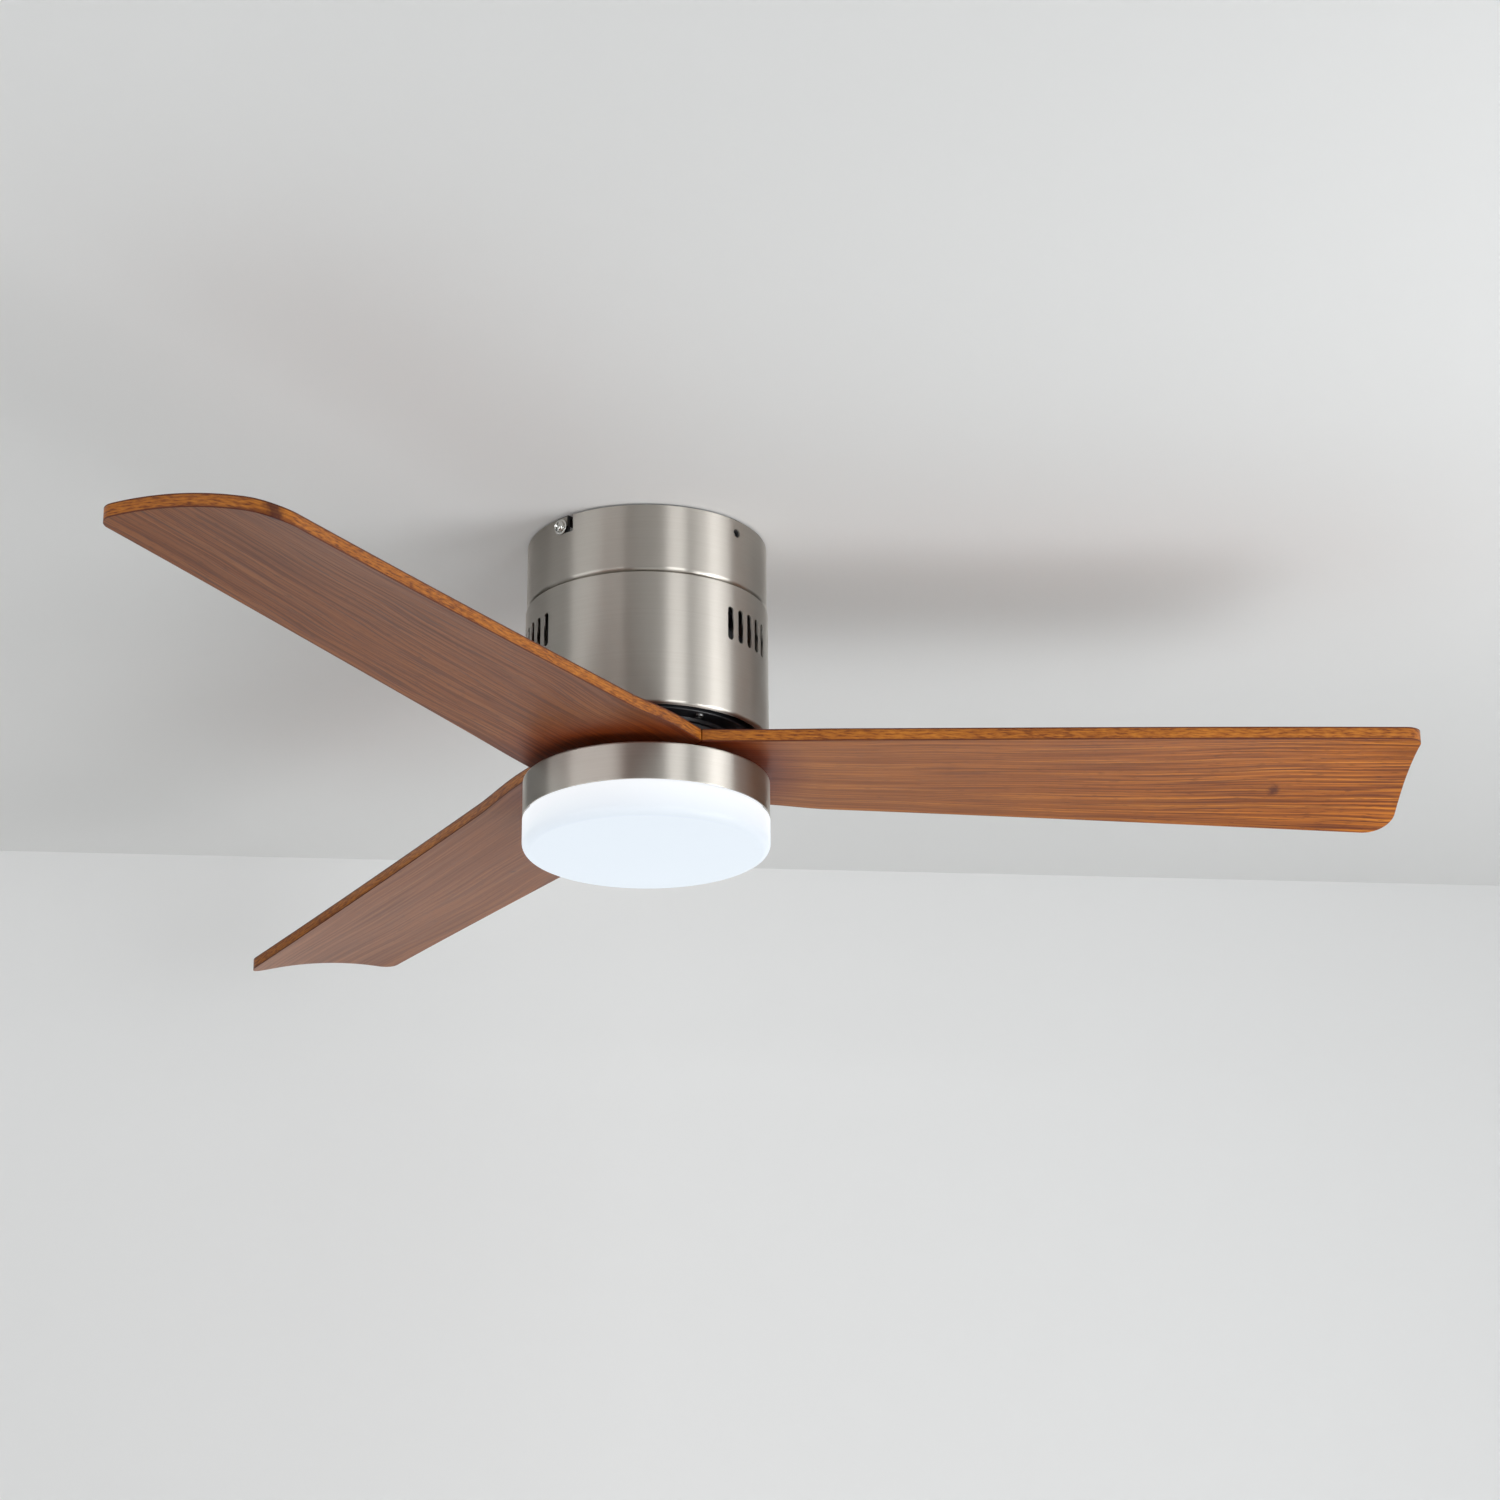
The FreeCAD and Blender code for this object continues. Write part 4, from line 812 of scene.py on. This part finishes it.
# a dim room, seen against a paler backdrop from the sides
lp = w.node_tree.nodes.new("ShaderNodeLightPath")
mr = w.node_tree.nodes.new("ShaderNodeMapRange")
mr.inputs[3].default_value = 0.20
mr.inputs[4].default_value = 0.52
w.node_tree.links.new(lp.outputs["Is Camera Ray"], mr.inputs[0])
w.node_tree.links.new(mr.outputs[0], bg.inputs[1])


def area(name, az, dist, z, sx, sy, power, col=(1, 1, 1), target=(0, 0, -0.13)):
    """Soft box at azimuth az, measured from -Y towards +X."""
    l = bpy.data.lights.new(name, "AREA")
    l.shape, l.size, l.size_y = "RECTANGLE", sx, sy
    l.energy, l.color = power, col
    o = bpy.data.objects.new(name, l)
    coll.objects.link(o)
    a = math.radians(az)
    o.location = (dist * math.sin(a), -dist * math.cos(a), z)
    o.rotation_mode = "QUATERNION"
    o.rotation_quaternion = (Vector(target) - Vector(o.location)).to_track_quat("-Z", "Y")
    o.visible_camera = False
    return o


SOFT = (0.96, 0.98, 1.0)
area("soft_right", 70, 2.4, -0.72, 1.00, 1.05, 13.6, SOFT)
area("soft_front_right", 27, 3.3, -0.85, 1.00, 1.3, 20, SOFT)
area("soft_left", -47, 2.3, -0.62, 2.2, 0.95, 12.8, SOFT)
area("fill_right", 65, 1.66, -1.35, 0.9, 0.9, 14, SOFT, target=(0.8, 0, -0.2))

# two low strips skim the light pan only
skim = bpy.data.collections.new("skim")
skim.objects.link(pan)
for o in (area("skim_left", -62, 1.6, -0.36, 2.2, 0.35, 5.2, SOFT, target=(0, 0, -0.232)),
          area("skim_right", 72, 1.6, -0.36, 1.7, 0.35, 1.7, SOFT, target=(0, 0, -0.232))):
    o.light_linking.receiver_collection = skim

# black cards just out of sight give the metal its dark core and dark edges
FLAG = Mat("stage_black_card")
FLAG.principled(Base_Color=FLAG.ramp(FLAG.noise(FLAG.obj(), 3.0), [(0.3, (0.010, 0.010, 0.010)), (0.7, (0.018, 0.018, 0.018))]), Roughness=0.9, Specular_IOR_Level=0.0)
FLAG = FLAG.m


def card(name, az, dist, width, z0, z1):
    a = math.radians(az)
    c, t = Vector((dist * math.sin(a), -dist * math.cos(a), 0)), Vector((math.cos(a), math.sin(a), 0)) * (width / 2)
    z0, z1 = Vector((0, 0, z0)), Vector((0, 0, z1))
    o = quad(name, [c - t + z0, c + t + z0, c + t + z1, c - t + z1], FLAG)
    o.visible_camera = o.visible_shadow = o.visible_diffuse = o.visible_transmission = False
    return o


GLOW = Mat("stage_glow_card")
e = GLOW.n("ShaderNodeEmission")
GLOW.link(GLOW.ramp(GLOW.noise(GLOW.obj(), 1.5), [(0.3, (0.85, 0.86, 0.87)), (0.7, (0.95, 0.96, 0.97))]), e.inputs[0])
GLOW.link(e.outputs[0], GLOW.out.inputs[0])
low = quad("card_low", [(-1.0, -2.2, -1.3), (1.0, -2.2, -1.3), (1.0, -0.25, -1.3), (-1.0, -0.25, -1.3)], GLOW.m)
low.visible_camera = low.visible_shadow = low.visible_diffuse = low.visible_transmission = False
card("card_front", -4, 1.5, 0.84, -0.42, -0.005)
card("card_left", -118, 0.98, 0.75, -0.60, -0.005)
card("card_right", 122, 1.05, 0.60, -0.60, -0.005)

# ------------------------------------------------------------------ camera
f, D, H = 3622.93, 2.94147, 1.24930
ps, ph, ro = 0.0303598, 0.3468119, -0.0071142
fwd0, right0, up0 = Vector((math.sin(ps), math.cos(ps), 0)), Vector((math.cos(ps), -math.sin(ps), 0)), Vector((0, 0, 1))
fwd = math.cos(ph) * fwd0 + math.sin(ph) * up0
up = -math.sin(ph) * fwd0 + math.cos(ph) * up0
rr = math.cos(ro) * right0 + math.sin(ro) * up
uu = -math.sin(ro) * right0 + math.cos(ro) * up
cam = bpy.data.cameras.new("camera")
cam.sensor_width = 36.0
cam.lens = f / 1500 * 36.0
cam.clip_start, cam.clip_end = 0.05, 60
co = bpy.data.objects.new("camera", cam)
coll.objects.link(co)
m = Matrix((rr, uu, -fwd)).transposed().to_4x4()
m.translation = Vector((0, -D, -H))
co.matrix_world = m
scene.camera = co

scene.view_settings.view_transform = "Standard"
scene.view_settings.look = "None"
scene.view_settings.exposure = 0.0
scene.view_settings.gamma = 1.0
